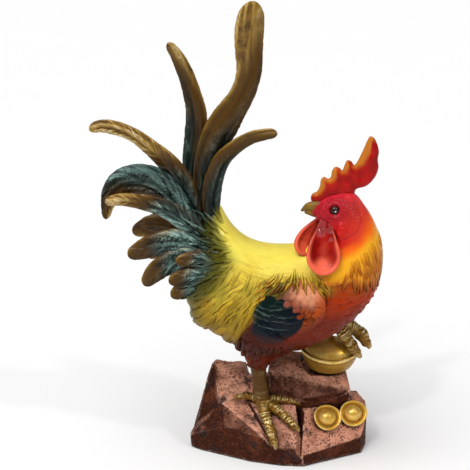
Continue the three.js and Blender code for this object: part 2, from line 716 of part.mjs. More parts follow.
// Rods and pins
const ROD = [vec(-15.2, -7.2, 24), vec(-22.4, -18.6, 135)];
const PIN = [vec(LARGE_AT.x, LARGE_AT.y, 46), vec(LARGE_AT.x, LARGE_AT.y, 78)];
const peg = (at, up, grow = 0) =>
  rod(at.clone().addScaledVector(up, -6), at.clone().addScaledVector(up, 2), 2.2, grow);

// Seats: every piece is cut with the clearance round the pieces that go into it
const rodSeat = rod(...ROD, ROD_RADIUS, SEAT_GAP);
const pinSeat = rod(...PIN, PIN_RADIUS, SEAT_GAP);
const comb = largest(combSolid().subtract(beakSolid(SEAT_GAP)));
const beak = beakSolid();
const legStanding = standingLegSolid();
const legStandingSeat = standingLegSolid(SEAT_GAP);
const legRaisedSeat = raisedLegSolid(SEAT_GAP);
const ingotLargeSeat = placed(ingotSolid(LARGE, SEAT_GAP), LARGE_AT, vec(0, 0, 1), 6);
const earLobe = solid(new THREE.SphereGeometry(1, 8, 6).scale(5, 3.4, 8).rotateY(0.25).translate(47, -20.5, 207));
const bodyShape = unite([bodyLoft(), standingThigh(), raisedThigh(), earLobe]);
const bodySeat = unite([bodyLoft(SEAT_GAP), standingThigh(), raisedThigh()]);

let body = unite([bodyShape, ...mantleLocks(), ...saddleLocks(NEAR), ...saddleLocks(FAR)]);
for (const piece of tail) body = body.subtract(piece.seat);
const wingPegSeat = rod(...WING_PEG, PEG_RADIUS, SEAT_GAP);
const wingPeg = rod(...WING_PEG, PEG_RADIUS);
const wingNear = largest(wing().subtract(bodySeat)).add(wingPeg);
const wingFar = largest(mirrored(wing()).subtract(bodySeat)).add(mirrored(wingPeg));
body = body.subtract(wingPegSeat).subtract(mirrored(wingPegSeat));
for (const cutter of [
  combSolid(SEAT_GAP),
  beakSolid(SEAT_GAP),
  wattleSolid(NEAR, SEAT_GAP),
  wattleSolid(FAR, SEAT_GAP),
  eyeSolid(NEAR, SEAT_GAP),
  eyeSolid(FAR, SEAT_GAP),
  legStandingSeat,
  legRaisedSeat,
  rodSeat,
]) {
  body = body.subtract(cutter);
}
body = largest(body);

const ingotLarge = placed(ingotSolid(LARGE), LARGE_AT, vec(0, 0, 1), 6).subtract(pinSeat);
const ingotsSmall = SMALL_AT.map((at, i) => placed(ingotSolid(SMALL), at, SMALL_UP[i], 20).add(peg(at, SMALL_UP[i])));
const ingotSmallSeats = SMALL_AT.map((at, i) =>
  placed(ingotSolid(SMALL, SEAT_GAP, true), at, SMALL_UP[i], 20).add(peg(at, SMALL_UP[i], SEAT_GAP)),
);
const firstSeat = placed(ingotSolid(SMALL, SEAT_GAP), SMALL_AT[0], SMALL_UP[0], 20);
ingotsSmall[1] = largest(ingotsSmall[1].subtract(firstSeat));

let rock = rockSolid();
for (const cutter of [
  legStandingSeat,
  rodSeat,
  pinSeat,
  ...ingotSmallSeats,
  ingotLargeSeat,
  padSolid(PAD_INSET - SEAT_GAP, -1, PAD_THICK + SEAT_GAP),
]) {
  rock = rock.subtract(cutter);
}
rock = largest(rock);

// Materials
const material = (name, color, roughness, metalness = 0) =>
  new THREE.MeshStandardMaterial({ name, color, roughness, metalness });
const M = {
  rock: material("rock paint", 0x8a4f36, 0.62),
  felt: material("dark foam sheet", 0x2a2624, 0.95),
  body: material("body paint", 0xd98a1e, 0.42),
  comb: material("comb paint", 0xd9281c, 0.22),
  beak: material("beak paint", 0x8d3a16, 0.35),
  eye: material("eye bead", 0x0a0706, 0.08),
  wing: material("wing paint", 0x2f4a4c, 0.4),
  tail: material("tail paint", 0x2c5c58, 0.4),
  bronze: material("bronze tail paint", 0x7a6329, 0.4),
  leg: material("antique gold paint", 0x8f7a25, 0.4, 0.5),
  gold: material("gold paint", 0xc79a2c, 0.3, 0.75),
  steel: material("steel rod", 0x9a9a98, 0.35, 1),
};

const rooster = new THREE.Group();
rooster.name = "rooster";
function piece(name, made, paint) {
  const mesh = new THREE.Mesh(geometryOf(made), paint.clone());
  mesh.name = name;
  rooster.add(mesh);
}

piece("base_pad", padSolid(PAD_INSET, 0, PAD_THICK), M.felt);
piece("rock", rock, M.rock);
piece("body", body, M.body);
piece("comb", comb, M.comb);
piece("beak", beak, M.beak);
piece("wattle_near", largest(wattleSolid(NEAR).subtract(beakSolid(SEAT_GAP))), M.comb);
piece("wattle_far", largest(wattleSolid(FAR).subtract(wattleSolid(NEAR, SEAT_GAP)).subtract(beakSolid(SEAT_GAP))), M.comb);
piece("eye_near", eyeSolid(NEAR), M.eye);
piece("eye_far", eyeSolid(FAR), M.eye);
piece("wing_near", wingNear, M.wing);
piece("wing_far", wingFar, M.wing);
for (const { name, made } of tail) {
  const gold = ["sickle_tall", "sickle_second", "sickle_gold"].includes(name);
  piece(name, made, gold ? M.bronze : M.tail);
}
piece("leg_standing", largest(legStanding.subtract(rodSeat)), M.leg);
piece("leg_raised", largest(raisedLegSolid().subtract(ingotLargeSeat)), M.leg);
piece("leg_rod", rod(...ROD, ROD_RADIUS), M.steel);
piece("ingot_pin", rod(...PIN, PIN_RADIUS), M.steel);
piece("ingot_large", ingotLarge, M.gold);
piece("ingot_small_left", ingotsSmall[0], M.gold);
piece("ingot_small_right", ingotsSmall[1], M.gold);

export default rooster;
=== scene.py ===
"""Painted resin rooster on a faceted rock: the visible model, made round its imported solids.
Metres in Blender, millimetres in the tables here. +Z is up, +X the breast's side, -Y the near side."""
import json
import math

import bmesh
import bpy
import numpy as np
from bpy.props import FloatProperty, FloatVectorProperty, IntProperty, PointerProperty
from mathutils import Matrix, Vector, noise
from mathutils.bvhtree import BVHTree
from mathutils.geometry import delaunay_2d_cdt
from mathutils.kdtree import KDTree

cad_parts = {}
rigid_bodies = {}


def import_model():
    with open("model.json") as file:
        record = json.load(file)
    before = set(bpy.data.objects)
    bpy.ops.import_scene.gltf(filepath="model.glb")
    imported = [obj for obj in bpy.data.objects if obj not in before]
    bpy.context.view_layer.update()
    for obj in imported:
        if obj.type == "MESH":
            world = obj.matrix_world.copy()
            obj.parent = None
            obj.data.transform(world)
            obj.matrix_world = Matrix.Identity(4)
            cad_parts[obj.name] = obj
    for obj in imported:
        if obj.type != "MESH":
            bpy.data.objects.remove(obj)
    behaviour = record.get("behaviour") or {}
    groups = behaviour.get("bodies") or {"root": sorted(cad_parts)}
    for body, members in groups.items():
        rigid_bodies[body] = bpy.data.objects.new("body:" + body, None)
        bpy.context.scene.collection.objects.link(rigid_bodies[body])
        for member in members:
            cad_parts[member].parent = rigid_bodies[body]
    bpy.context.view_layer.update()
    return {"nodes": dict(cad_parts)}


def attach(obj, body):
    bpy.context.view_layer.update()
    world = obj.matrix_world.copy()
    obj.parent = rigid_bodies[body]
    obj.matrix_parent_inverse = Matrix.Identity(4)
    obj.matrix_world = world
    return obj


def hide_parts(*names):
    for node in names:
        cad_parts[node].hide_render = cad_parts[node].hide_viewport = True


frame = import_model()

bl_info = {
    "name": "Painted rooster",
    "version": (1, 0, 0),
    "blender": (4, 5, 0),
    "location": "3D View > Sidebar > Rooster",
    "description": "Makes the painted rooster ornament round its packed solids",
    "category": "Add Mesh",
}

MM = 0.001
NEAR, FAR = -1, 1


# Tables of the modelled shapes, in millimetres -------------

# Body: inner rail x, z, outer rail x, z, half width, side shift
BODY_ROWS = [
    (-55, 226, -74, 188, 9, 0),
    (-50, 219, -77, 166, 17, 0),
    (-46, 211, -78, 142, 25, 0),
    (-40, 202, -73, 119, 31, 0),
    (-31, 193.5, -57, 112.5, 35, 0),
    (-19, 187.5, -34, 98, 38.5, 0),
    (-5, 185, -8, 93, 40.5, 0),
    (7, 185, 20, 98, 40.5, 0),
    (15, 186.5, 45, 111, 38.5, 0),
    (20, 189, 65, 128, 35, -1),
    (23.5, 192, 79, 150, 31, -2),
    (26, 195.5, 81.5, 174, 27.5, -3),
    (28, 200, 79, 197, 24, -4),
    (30, 205, 71, 216.5, 20.5, -5),
    (31, 209, 60, 228.5, 17.5, -6),
    (28.5, 211, 46, 232.5, 14.5, -7),
    (27, 213, 35, 230, 10.5, -8),
    (26, 215.5, 28.5, 225, 6, -8.5),
]
LAST_ROW = len(BODY_ROWS) - 1
BODY_FULLNESS = 2.25
STANDING_THIGH = ([(-8, -22, 128), (-14, -20, 118), (-18.5, -15, 97), (-19.5, -13.5, 84)], [24, 22, 15, 9.6])
RAISED_THIGH = ([(-2, 22, 124), (18, 22, 114), (38, 16, 116)], [20, 17, 11])
EYES = {"near": (42, -20.3, 222.8), "far": (42, 8.2, 222.8)}

# Lower edge of the yellow saddle on the flank: x, z
SADDLE_EDGE = [(-82, 100), (-60, 101), (-41, 108), (-33, 122), (-26, 134), (-14, 146), (2, 156), (15, 160), (34, 154)]
# Way that the saddle hackle flows on the flank: x, z, run in x, run in z
SADDLE_FLOW = [
    (30, 166, 0.45, -0.9),
    (18, 170, -0.2, -0.95),
    (6, 173, -0.85, -0.6),
    (-7, 177, -0.75, -0.75),
    (-26, 168, -0.5, -0.9),
    (-45, 187, -1, -0.6),
    (-60, 190, -1, -0.15),
    (-10, 158, -0.85, -0.75),
    (-30, 146, -0.62, -0.8),
    (-45, 166, -0.85, -0.75),
    (-65, 160, -0.85, -0.6),
    (-49, 152, -0.9, -0.85),
    (-35, 125, -0.45, -0.95),
    (-45, 136, -0.4, -0.93),
    (-56, 136, -0.65, -0.8),
    (-72, 145, -0.75, -0.6),
    (-50, 108, -0.3, -1),
]

# Tail feathers. path, width, twist, gilt (0 teal to 1 gold along the feather), lean of the gilt to one side, partly a
# painted highlight on one edge; silvery paint, where given, is partly a painted highlight on the ridges
SICKLES = {
    "sickle_tall": dict(
        path=[(-62, 0, 190), (-65.4, 0, 212), (-64.5, 0, 234), (-62, -1, 255.5), (-55.2, -2, 277), (-44, -2, 297.5),
              (-32.8, -1, 316), (-27.8, 0, 334), (-27.8, 1, 354), (-27, 1, 371), (-24, 1, 389.5)],
        width=[12, 15, 16, 19, 22, 24, 20, 19, 21, 22, 17], twist=[0, 5, 10, 0, -12, -20, -5, 8, 0],
        thick=[5, 5, 4.8, 4.4, 4], gilt=[0, 0, 0, 0.05, 0.25, 0.42, 0.55, 0.68, 0.85, 1.0, 1.1],
        lean=-0.3,
    ),
    "sickle_second": dict(
        path=[(-68, 7, 192), (-71.5, 8, 210), (-73.8, 9, 231.5), (-73.6, 10, 252.5), (-71.5, 11, 273.5),
              (-70.5, 11, 294.5), (-73.5, 11, 311), (-78.7, 11, 328), (-85.8, 10, 343.5), (-93, 9, 354.5)],
        width=[11, 13, 15, 17, 18, 17.5, 15, 13, 11, 7], twist=[0, -8, -12, 0, 10, 0],
        gilt=[0, 0, 0, 0.05, 0.2, 0.3, 0.42, 0.6, 0.8, 0.9], lean=0.35,
    ),
    "sickle_front": dict(
        path=[(-58, -7, 202), (-58.5, -8, 223.5), (-56, -9, 245), (-49.5, -11, 262), (-38, -13, 274),
              (-25.3, -15, 282), (-12.6, -17, 285.5), (-5, -18, 286.5)],
        width=[10, 13, 15, 14.5, 13.5, 12, 10.5, 8], twist=[0, 10, 15, 20, 10],
        gilt=[0, 0, 0, 0.1, 0.3, 0.5, 0.65, 0.75], lean=-0.3,
    ),
    "sickle_gold": dict(
        path=[(-70, -7, 200), (-76, -8, 223.5), (-83.8, -9, 245), (-94, -11, 260), (-107.6, -13, 273.5),
              (-121, -14, 284), (-135.2, -15, 290), (-147.5, -15, 291.5), (-156, -15, 288.5)],
        width=[12, 15, 17, 18, 16, 13, 11, 11, 8], twist=[0, -8, -15, -8, 0],
        gilt=[0, 0, 0, 0.15, 0.6, 1.1, 1.4, 1.4, 1.2], lean=0.2, silver_and_sheen=[0.1, 0.2, 0.5, 0.3, 0],
    ),
    "sickle_hook": dict(
        path=[(-67, -14, 198), (-76, -15, 211.5), (-85.5, -16, 228), (-95.7, -18, 242), (-107.6, -20, 251),
              (-122, -21, 253), (-133.5, -22, 249.5), (-140.8, -22, 240.5), (-143.2, -22, 228), (-144, -21, 215.5)],
        width=[12, 14, 16, 18, 19, 17, 14, 11, 9, 6], twist=[0, -10, -18, -10, 0, 8],
        gilt=[0, 0, 0, 0.02, 0.1, 0.15, 0.2, 0.4, 0.6, 0.7], lean=-0.5, vane=[0, 0, 0.5, 2.5, 4.5, 5, 4, 1.5, 0],
        grooves=(-0.25,), silver_and_sheen=[0.2, 0.4, 0.75, 1, 1, 1, 0.8, 0.4, 0, 0],
    ),
    "sickle_low": dict(
        path=[(-64, -20.5, 196), (-72, -22, 205), (-83.6, -24, 217), (-95.6, -26, 225.5), (-107.5, -28, 230),
              (-119.5, -29, 233), (-131.5, -30, 234.5), (-143.5, -30, 232.5)],
        width=[12, 14, 16, 16, 14.5, 12, 10, 7.5], twist=[0, -10, -15, -8, 0],
        gilt=[0, 0, 0, 0.08, 0.3, 0.75, 1.1, 1.3], lean=0.1, silver_and_sheen=[0.3, 0.7, 1, 1, 1, 0.6, 0.2, 0],
    ),
    "sickle_behind": dict(
        path=[(-70, 13.5, 188), (-82, 15, 194), (-96, 17, 198), (-108, 18, 199.5), (-119.5, 19, 199)],
        width=[12, 15, 16, 14, 9], twist=[0, 0], gilt=[0.1, 0.4, 0.55, 0.6, 0.6], lean=0,
    ),
}
COVERTS = {
    "covert_top": dict(
        path=[(-60, -22, 188), (-75.6, -26, 195), (-90.2, -28.5, 198), (-104, -30, 196), (-115, -30.5, 192),
              (-126, -31, 187)],
        width=[13, 15, 17, 16, 13.5, 8], twist=[12, 10, 0],
    ),
    "covert_hook": dict(
        path=[(-56, -24, 179), (-71.6, -29.5, 184), (-85.3, -32.5, 184), (-97.5, -34, 179), (-106.5, -34.5, 171.5),
              (-113, -35, 163)],
        width=[12, 14, 15.5, 14.5, 12.5, 7.5], twist=[12, 8, 0],
    ),
    "covert_mid": dict(
        path=[(-49, -24, 181), (-62, -34, 185.5), (-75.4, -36, 186), (-87, -37, 184)],
        width=[10, 11, 10.5, 6.5], twist=[12, 8, 0],
    ),
    "covert_low": dict(
        path=[(-53, -24.5, 168), (-67, -33, 171.5), (-79, -34.5, 170.5), (-93, -35, 166)],
        width=[10, 12, 12, 7.5], twist=[8, 4, 0],
    ),
    "covert_last": dict(
        path=[(-57, -24, 157.5), (-69, -32, 160), (-80, -33, 158.5), (-91.5, -33, 153)],
        width=[9.5, 12, 12, 7.5], twist=[4, 0, 0],
    ),
}
NEAR_ONLY = ("covert_mid", "covert_last")
COVERT_GILT = [0, 0, 0, 0.15, 0.5, 0.72]
# Silvery paint along the coverts, partly a painted highlight on the ridges
COVERT_SILVER_AND_SHEEN = [0.4, 0.9, 1, 0.9, 0.3, 0]

# Sickles with long folds in place of barbs
FOLDED = ("sickle_tall", "sickle_second", "sickle_front")

# Wing, on the flank, x, z: outline, outline of the blue quills, lower edges of the quills from the top down
WING_EDGE = [
    (-28.4, 125.7), (-27.9, 129.6), (-24.4, 141.9), (-18.7, 151.9), (-13, 158.6), (-5.8, 163.9), (3.9, 166.9),
    (13.6, 168.6), (22.5, 166.9), (30, 160), (34.6, 150.5), (34.4, 140.1), (29.6, 130.9), (21.5, 123.8), (11, 117),
    (2, 113), (-11.5, 111.7), (-24.2, 116),
]
WING_BLUE = [
    (-27.4, 128.2), (-24, 141.9), (-18.7, 151), (-13, 157), (-7.3, 155.3), (2.2, 154.1), (9.1, 146.4), (16.3, 141.7),
    (17.5, 135.7), (15.2, 130.3), (9.5, 123.2), (2.5, 117.5), (-11.5, 114), (-23.8, 118),
]
QUILL_EDGES = [
    [(-30, 151), (-22, 148.5), (-17.5, 145.9), (-11.6, 144.3), (1.1, 145.2), (9, 147.5), (20, 152)],
    [(-30, 148), (-24, 145), (-17.5, 142), (-8.8, 139.5), (4.7, 138), (14, 140), (20, 143)],
    [(-30, 143.5), (-24.4, 140.3), (-16.2, 136.3), (-8.7, 134.3), (3.4, 133.2), (15.7, 135.2)],
    [(-30, 137), (-20.3, 132), (-13.3, 129.5), (-5.2, 127.8), (6, 127.8), (14, 130), (20, 133)],
]
WING_RIDGE = [(18.5, 165), (26.3, 161.6), (30.9, 154.4), (31.8, 146.2), (29.3, 138.3), (23.2, 131.9),
              (13.8, 126), (4.2, 121.4), (-8.7, 118.6)]
# Left and right end of the small coverts at heights on the wing
COVERT_LEFT = ([129, 132, 136, 141, 145, 153, 156, 160], [17, 18, 19, 14, 9, 3, -7, -9])
COVERT_RIGHT = ([129, 136, 143, 153, 160, 165], [20, 24, 26.5, 25, 17, 6])
# Where the yellow of the rump gives way to the tail's teal: x at heights. Way of the strands there: x, z, run
ROOT_EDGE = ([140, 149, 157, 180, 194, 207, 214, 220, 231], [-86, -81, -69, -56, -57, -61, -56, -49, -40])
ROOT_FLOW = [(-47, 211, -0.3, 0.95), (-53, 223, -0.1, 1), (-62, 214, -0.8, 0.6), (-56, 203, -1, 0.3),
             (-46, 190, -1, 0.1), (-44, 177, -1, -0.25), (-52, 162, -0.8, -0.55), (-62, 150, -0.75, -0.65)]
# Way of the short strands over the wing's upper edge: x, z, run
WING_TOP_FLOW = [(-31, 130, -0.35, -0.93), (-22, 150, -0.6, -0.8), (-10, 163, -0.8, -0.6), (3, 169, -0.65, -0.76),
                 (14, 171, -0.1, -1), (24, 168, 0.5, -0.85), (33, 160, 0.7, -0.7)]

# Large locks of the saddle's lower edge: x, z, half width, length
FRINGE = [(-69, 147, 3.8, 18), (-63, 142, 4.2, 19), (-55, 138, 4.4, 20), (-49, 134, 4.0, 19), (-43.5, 132, 5.0, 27),
          (-37.5, 129, 4.8, 24), (-32.5, 128, 3.6, 17)]
THIGH_FLOW = [(-36, 112, -0.1, -1), (-18, 110, -0.05, -1), (2, 112, -0.5, -0.85), (20, 118, -0.8, -0.6)]

# Rings of hackles: rows that their tips reach past the mantle's edge, and their length in rows; none on the back
HACKLE_RINGS = [(0.6, 1.0), (0.35, 1.05), (0.1, 1.0), (-0.15, 0.9), (-0.38, 0.8)]
BACK_TURN = 128
# Upper edge of the saddle locks: x, z. Fields of the thigh locks: side, left, right, low, high
SADDLE_TOP = ([-70, -58, -48, -36, -20, 0, 32], [205, 218, 200, 186, 177, 176, 171])
THIGH_FIELDS = [(NEAR, -36, 6, 87, 122), (FAR, -8, 42, 106, 126)]

# Legs: points along, radii
SHANK = ([(-20.5, -15, 94), (-19.5, -13.5, 84), (-18, -10.8, 68), (-16.4, -8.6, 53), (-15.5, -8, 44)],
         [5.6, 6.6, 6.0, 7.0, 3.6])
STANDING_TOES = [
    ([(-16, -8, 50), (-14, -17, 41), (-9, -26, 29.5), (-5.2, -34.5, 18.5)], 4.5),
    ([(-16, -8, 50), (-6, -13, 45), (5, -20, 38), (13.5, -26, 30.5)], 4.4),
    ([(-16, -8, 50), (-5, -5, 49), (7, -2.5, 46.5), (19, -1, 43)], 3.7),
    ([(-16, -8, 50), (-23, -4, 50.5), (-30, -1, 50.5), (-37, 1.5, 48)], 3.5),
]
RAISED_STUB = ([(34, 16, 124), (42, 15, 118), (48, 13, 111)], [6, 7, 7])
RAISED_TOES = [
    ([(48, 13, 111), (54, 8, 104), (60, 6, 95), (67, 5, 85.5)], 5.4),
    ([(48, 13, 111), (58, 18, 107), (69, 21, 99), (76, 22, 87)], 6.2),
    ([(48, 13, 111), (46, 24, 106), (44, 36, 98), (43, 44, 87)], 4.6),
]
TOE_TAPER = [1.25, 1.1, 0.95, 0.88, 0.66]

# Comb in its middle plane: x, z round its edge, from the front tooth over the blade and back under the skull
COMB_EDGE = [
    (26, 223), (23, 228), (24.4, 232.6), (28.1, 234.6), (30.3, 239), (31.2, 244.6), (33.6, 246.9), (36.9, 245.4),
    (39.0, 246.6), (40.1, 252), (42.6, 255.3), (46, 254.5), (48.4, 252.4), (49.8, 255.9), (52.3, 260.9), (55.5, 260),
    (58.2, 256.9), (60.3, 259.6), (64.4, 268.2), (67.8, 276.6), (70.3, 280.9), (73.2, 280), (76.3, 274.5), (77.9, 268),
    (77.2, 261.6), (77.9, 254.3), (75.1, 246.2), (68.4, 239.1), (60, 236), (58, 229), (45, 226), (34, 222),
]
# Upper and lower bill: points along, radii, flatness
BILLS = [
    ([(37, -8.2, 219.5), (29, -8.4, 221.5), (21, -8.7, 222.2), (15, -9, 218.6)], [5.2, 6, 3.7, 1], 0.82),
    ([(36, -8.2, 216), (27, -8.4, 217), (18, -8.8, 218)], [4, 3.9, 1.6], 0.8),
]
WATTLES = {
    "near": dict(path=[(35, -17, 214), (34, -24, 205), (33, -29.8, 196), (32.8, -33.4, 187), (31.6, -36.4, 179.5),
                       (30.3, -38.6, 173.2)],
                 width=[9, 15, 22, 27.5, 28.5, 28], twist=[8, 12, 10, 6, 4]),
    "far": dict(path=[(33, -1, 210), (28, -2, 203.5), (22.3, -6, 197), (18.2, -13, 190.5), (16, -18.5, 183)],
                width=[8, 13, 18, 21, 21], twist=[-20, -20, -20]),
}

# Ingots: place, up, turn, radii, height, dome, rise of the ends
FACET_UP = Vector((0.312, -0.725, 0.614)).normalized()
SECOND_UP = (FACET_UP + Vector((0.02, -0.22, 0))).normalized()
SMALL = dict(rx=12.6, ry=11.2, height=5.6, dome=7.4, rise=2.0, crown=0.62, lip=0.26)
INGOTS = {
    "ingot_large": dict(at=(43, 20, 65.8), up=Vector((0, 0, 1)), turn=6, rx=25.5, ry=22, height=14.5,
                        dome=15.5, rise=4.5, crown=0.9, lip=0.07),
    "ingot_small_left": dict(at=tuple(Vector((38.1, -8, 31.8)) - 1.2 * FACET_UP), up=FACET_UP, turn=20, **SMALL),
    "ingot_small_right": dict(at=tuple(Vector((61.1, 2, 31.9)) - 1.2 * FACET_UP), up=SECOND_UP, turn=20, **SMALL),
}


# Rock: point spacing of its skin; place and radius of a stone set into it beside the standing leg
ROCK_STEP = 1.05
FOOTHOLD = ((-30, 8.5, 34.5), 7.5)

# Suns: name, strength, spread in degrees, aim. Camera: tilt in degrees, target and distance in metres
SUNS = [
    ("key light", 2.4, 60, (0.36, 0.5, -1.3)), ("left window", 0.35, 4, (0.45, 0.9, -1.1)),
    ("right window", 0.35, 4, (-0.75, 0.6, -0.75)),
]
CAMERA_TILT, CAMERA_TARGET, CAMERA_AWAY = 18, (-0.039, 0, 0.195), 1.3


# Arithmetic ------------------------------------------------

def along(values, t):
    """Smooth value at t (0 to 1) of numbers or points spread evenly along a piece"""
    values = np.asarray(values, float)
    last = len(values) - 1
    f = clamp(t) * last
    i = np.minimum(np.floor(f).astype(int), last - 1)
    u = f - i
    if values.ndim > 1:
        u = u[..., None]
    a, b, c, d = (values[np.clip(i + k, 0, last)] for k in (-1, 0, 1, 2))
    return b + 0.5 * u * (c - a + u * (2 * a - 5 * b + 4 * c - d + u * (3 * (b - c) + d - a)))


def ease(value, low, high):
    """0 below low, 1 above high, smooth between"""
    t = clamp((np.asarray(value, float) - low) / (high - low))
    return t * t * (3 - 2 * t)


def unit(vectors):
    vectors = np.asarray(vectors, float)
    return vectors / np.maximum(np.linalg.norm(vectors, axis=-1, keepdims=True), 1e-9)


def curve(points, shares):
    """Places at shares of the length of a smooth curve through points"""
    p = np.array(points, float)
    p = np.vstack([2 * p[0] - p[1], p, 2 * p[-1] - p[-2]])
    dense = []
    for i in range(1, len(p) - 2):
        a, b, c, d = p[i - 1 : i + 3]
        gaps = [max(np.linalg.norm(v), 1e-6) ** 0.5 for v in (b - a, c - b, d - c)]
        into = ((b - a) / gaps[0] - (c - a) / (gaps[0] + gaps[1]) + (c - b) / gaps[1]) * gaps[1]
        out = ((c - b) / gaps[1] - (d - b) / (gaps[1] + gaps[2]) + (d - c) / gaps[2]) * gaps[1]
        u = np.linspace(0, 1, 30, endpoint=i == len(p) - 3)[:, None]
        h = (2 * u**3 - 3 * u**2 + 1, u**3 - 2 * u**2 + u, 3 * u**2 - 2 * u**3, u**3 - u**2)
        dense.append(h[0] * b + h[1] * into + h[2] * c + h[3] * out)
    dense = np.vstack(dense)
    length = np.concatenate([[0], np.cumsum(np.linalg.norm(np.diff(dense, axis=0), axis=1))])
    at = np.asarray(shares) * length[-1]
    return np.stack([np.interp(at, length, dense[:, k]) for k in range(3)], axis=1)


def clamp(values):
    return np.clip(values, 0, 1)


def hill(distance, width):
    """1 at no distance, falling to 0 in both directions"""
    return np.exp(-((distance / width) ** 2))


def circle(count):
    """Angles evenly round a circle"""
    return np.radians(np.arange(count) * 360 / count)


def columns(*values):
    """Points from their coordinates, numbers or arrays"""
    return np.stack(np.broadcast_arrays(*values), -1)


def headings(points):
    """Direction of a line at each of its points"""
    return unit(np.gradient(np.asarray(points, float), axis=0))


def lumps(points, size, seed=0.0, depth=3):
    """Smooth noise, about -1 to 1, at points in millimetres"""
    return np.array([noise.fractal(Vector(p) / size + Vector((seed, 0, 0)), 1.0, 2.0, depth) for p in points])


def cells(points, size, seed=0.0):
    """Distance to the nearest of a scatter of places, in shares of size"""
    return np.array([noise.voronoi(Vector(p) / size + Vector((seed, 0, 0)))[0][0] for p in points])


def linear(red, green, blue):
    """Paint colour from 0 to 255 as the shader's linear value"""
    parts = [v / 255 for v in (red, green, blue)]
    return tuple(v / 12.92 if v <= 0.04045 else ((v + 0.055) / 1.055) ** 2.4 for v in parts)


# Sizes and colours that a user can change ------------------

def length(name, about, default):
    return FloatProperty(name=name, description=about, default=default * MM, min=0, precision=5, subtype="DISTANCE",
                         unit="LENGTH")


def tone(name, red, green, blue):
    return FloatVectorProperty(name=name, description=f"Paint colour: {name.lower()}", size=3, min=0, max=1,
                               subtype="COLOR", default=linear(red, green, blue))


class RoosterSizes(bpy.types.PropertyGroup):
    hackle_width: length("Hackle width", "Half width of a lock of the neck mantle", 2.5)
    saddle_width: length("Saddle width", "Half width of a lock of the saddle", 2.3)
    lock_lift: length("Lock lift", "Height of a lock's tip over the skin", 1.0)
    barb_spacing: length("Barb spacing", "From one barb of a tail feather to the next", 3.0)
    barb_depth: length("Barb depth", "Relief of the barbs and folds of a tail feather", 0.95)
    blade_thick: length("Feather thickness", "Thickness of a tail feather at its root", 4.6)
    comb_thick: length("Comb thickness", "Comb at its thickest", 7.5)
    eye_radius: length("Eye radius", "Radius of the eye bead", 3.7)
    scute_spacing: length("Scute spacing", "From one scale ring of a leg to the next", 3.0)
    scute_depth: length("Scute depth", "Relief of the scale rings", 0.45)
    pit_depth: length("Pit depth", "Depth of the pits in the rock", 0.7)
    hackle_count: IntProperty(name="Hackle locks", description="Locks in one ring of the mantle", default=46, min=8)


class RoosterPaint(bpy.types.PropertyGroup):
    head_red: tone("Head red", 208, 24, 22)
    face_red: tone("Face red", 150, 8, 12)
    face_rose: tone("Face rose", 220, 48, 72)
    nape_orange: tone("Nape orange", 250, 110, 26)
    hackle_yellow: tone("Hackle yellow", 254, 184, 40)
    hackle_tip: tone("Hackle tip", 178, 92, 18)
    saddle_yellow: tone("Saddle yellow", 248, 232, 96)
    saddle_ochre: tone("Saddle ochre", 180, 146, 32)
    saddle_olive: tone("Saddle olive", 98, 98, 28)
    saddle_groove: tone("Saddle groove", 104, 76, 16)
    breast_orange: tone("Breast orange", 172, 52, 4)
    breast_brown: tone("Breast brown", 118, 34, 5)
    belly_brown: tone("Belly brown", 64, 19, 3)
    thigh_brown: tone("Thigh brown", 98, 30, 5)
    groove_brown: tone("Groove brown", 40, 14, 4)
    tail_teal: tone("Tail teal", 6, 26, 23)
    tail_silver_and_sheen: tone("Tail silver", 140, 174, 164)
    tail_bronze: tone("Tail bronze", 84, 56, 15)
    tail_gold: tone("Tail gold", 180, 142, 66)
    wing_blue: tone("Wing blue", 8, 20, 32)
    wing_salmon: tone("Wing salmon", 240, 164, 126)
    wing_orange: tone("Wing orange", 172, 70, 16)
    comb_red: tone("Comb red", 172, 12, 6)
    comb_glow: tone("Comb edge", 198, 118, 38)
    wattle_red: tone("Wattle red", 150, 10, 6)
    wattle_rim: tone("Wattle rim", 236, 104, 76)
    beak_olive: tone("Beak olive", 140, 104, 32)
    leg_gold: tone("Leg gold", 138, 98, 24)
    ingot_gold: tone("Ingot gold", 232, 182, 70)
    rock_copper: tone("Rock copper", 230, 166, 138)
    rock_brown: tone("Rock brown", 64, 31, 18)
    rock_rust: tone("Rock rust", 118, 62, 40)


def sizes():
    return bpy.context.scene.rooster_sizes


def ink(name, share=1.0):
    """Paint colour, lighter or darker by share"""
    return np.array(getattr(bpy.context.scene.rooster_paint, name)) * share


# Meshes ----------------------------------------------------

def new_piece(name, points, faces, values=None):
    """Object with a closed mesh from points in millimetres; its faces are turned outwards"""
    mesh = bpy.data.meshes.new(name)
    mesh.from_pydata((np.asarray(points, float) * MM).tolist(), [], faces)
    mesh.update()
    turn_out(mesh)
    for key, value in (values or {}).items():
        put(mesh, key, value)
    mesh.shade_smooth()
    return show(name, mesh)


def show(name, data):
    """New object in the scene"""
    obj = bpy.data.objects.new(name, data)
    bpy.context.scene.collection.objects.link(obj)
    return obj


def turn_out(mesh):
    """Turns the faces over if the closed mesh is inside out"""
    mesh.calc_loop_triangles()
    corners = np.zeros(len(mesh.loop_triangles) * 3, int)
    mesh.loop_triangles.foreach_get("vertices", corners)
    a, b, c = places(mesh)[corners].reshape(-1, 3, 3).transpose(1, 0, 2)
    if np.einsum("ij,ij->i", a, np.cross(b, c)).sum() < 0:
        mesh.flip_normals()


def places(mesh):
    """Points of a mesh in millimetres"""
    co = np.zeros(len(mesh.vertices) * 3, np.float32)
    mesh.vertices.foreach_get("co", co)
    return co.reshape(-1, 3).astype(float) / MM


def normals(mesh):
    n = np.zeros(len(mesh.vertices) * 3, np.float32)
    mesh.vertices.foreach_get("normal", n)
    return n.reshape(-1, 3).astype(float)


def move(mesh, points):
    mesh.vertices.foreach_set("co", (np.asarray(points) * MM).astype(np.float32).ravel())
    mesh.update()


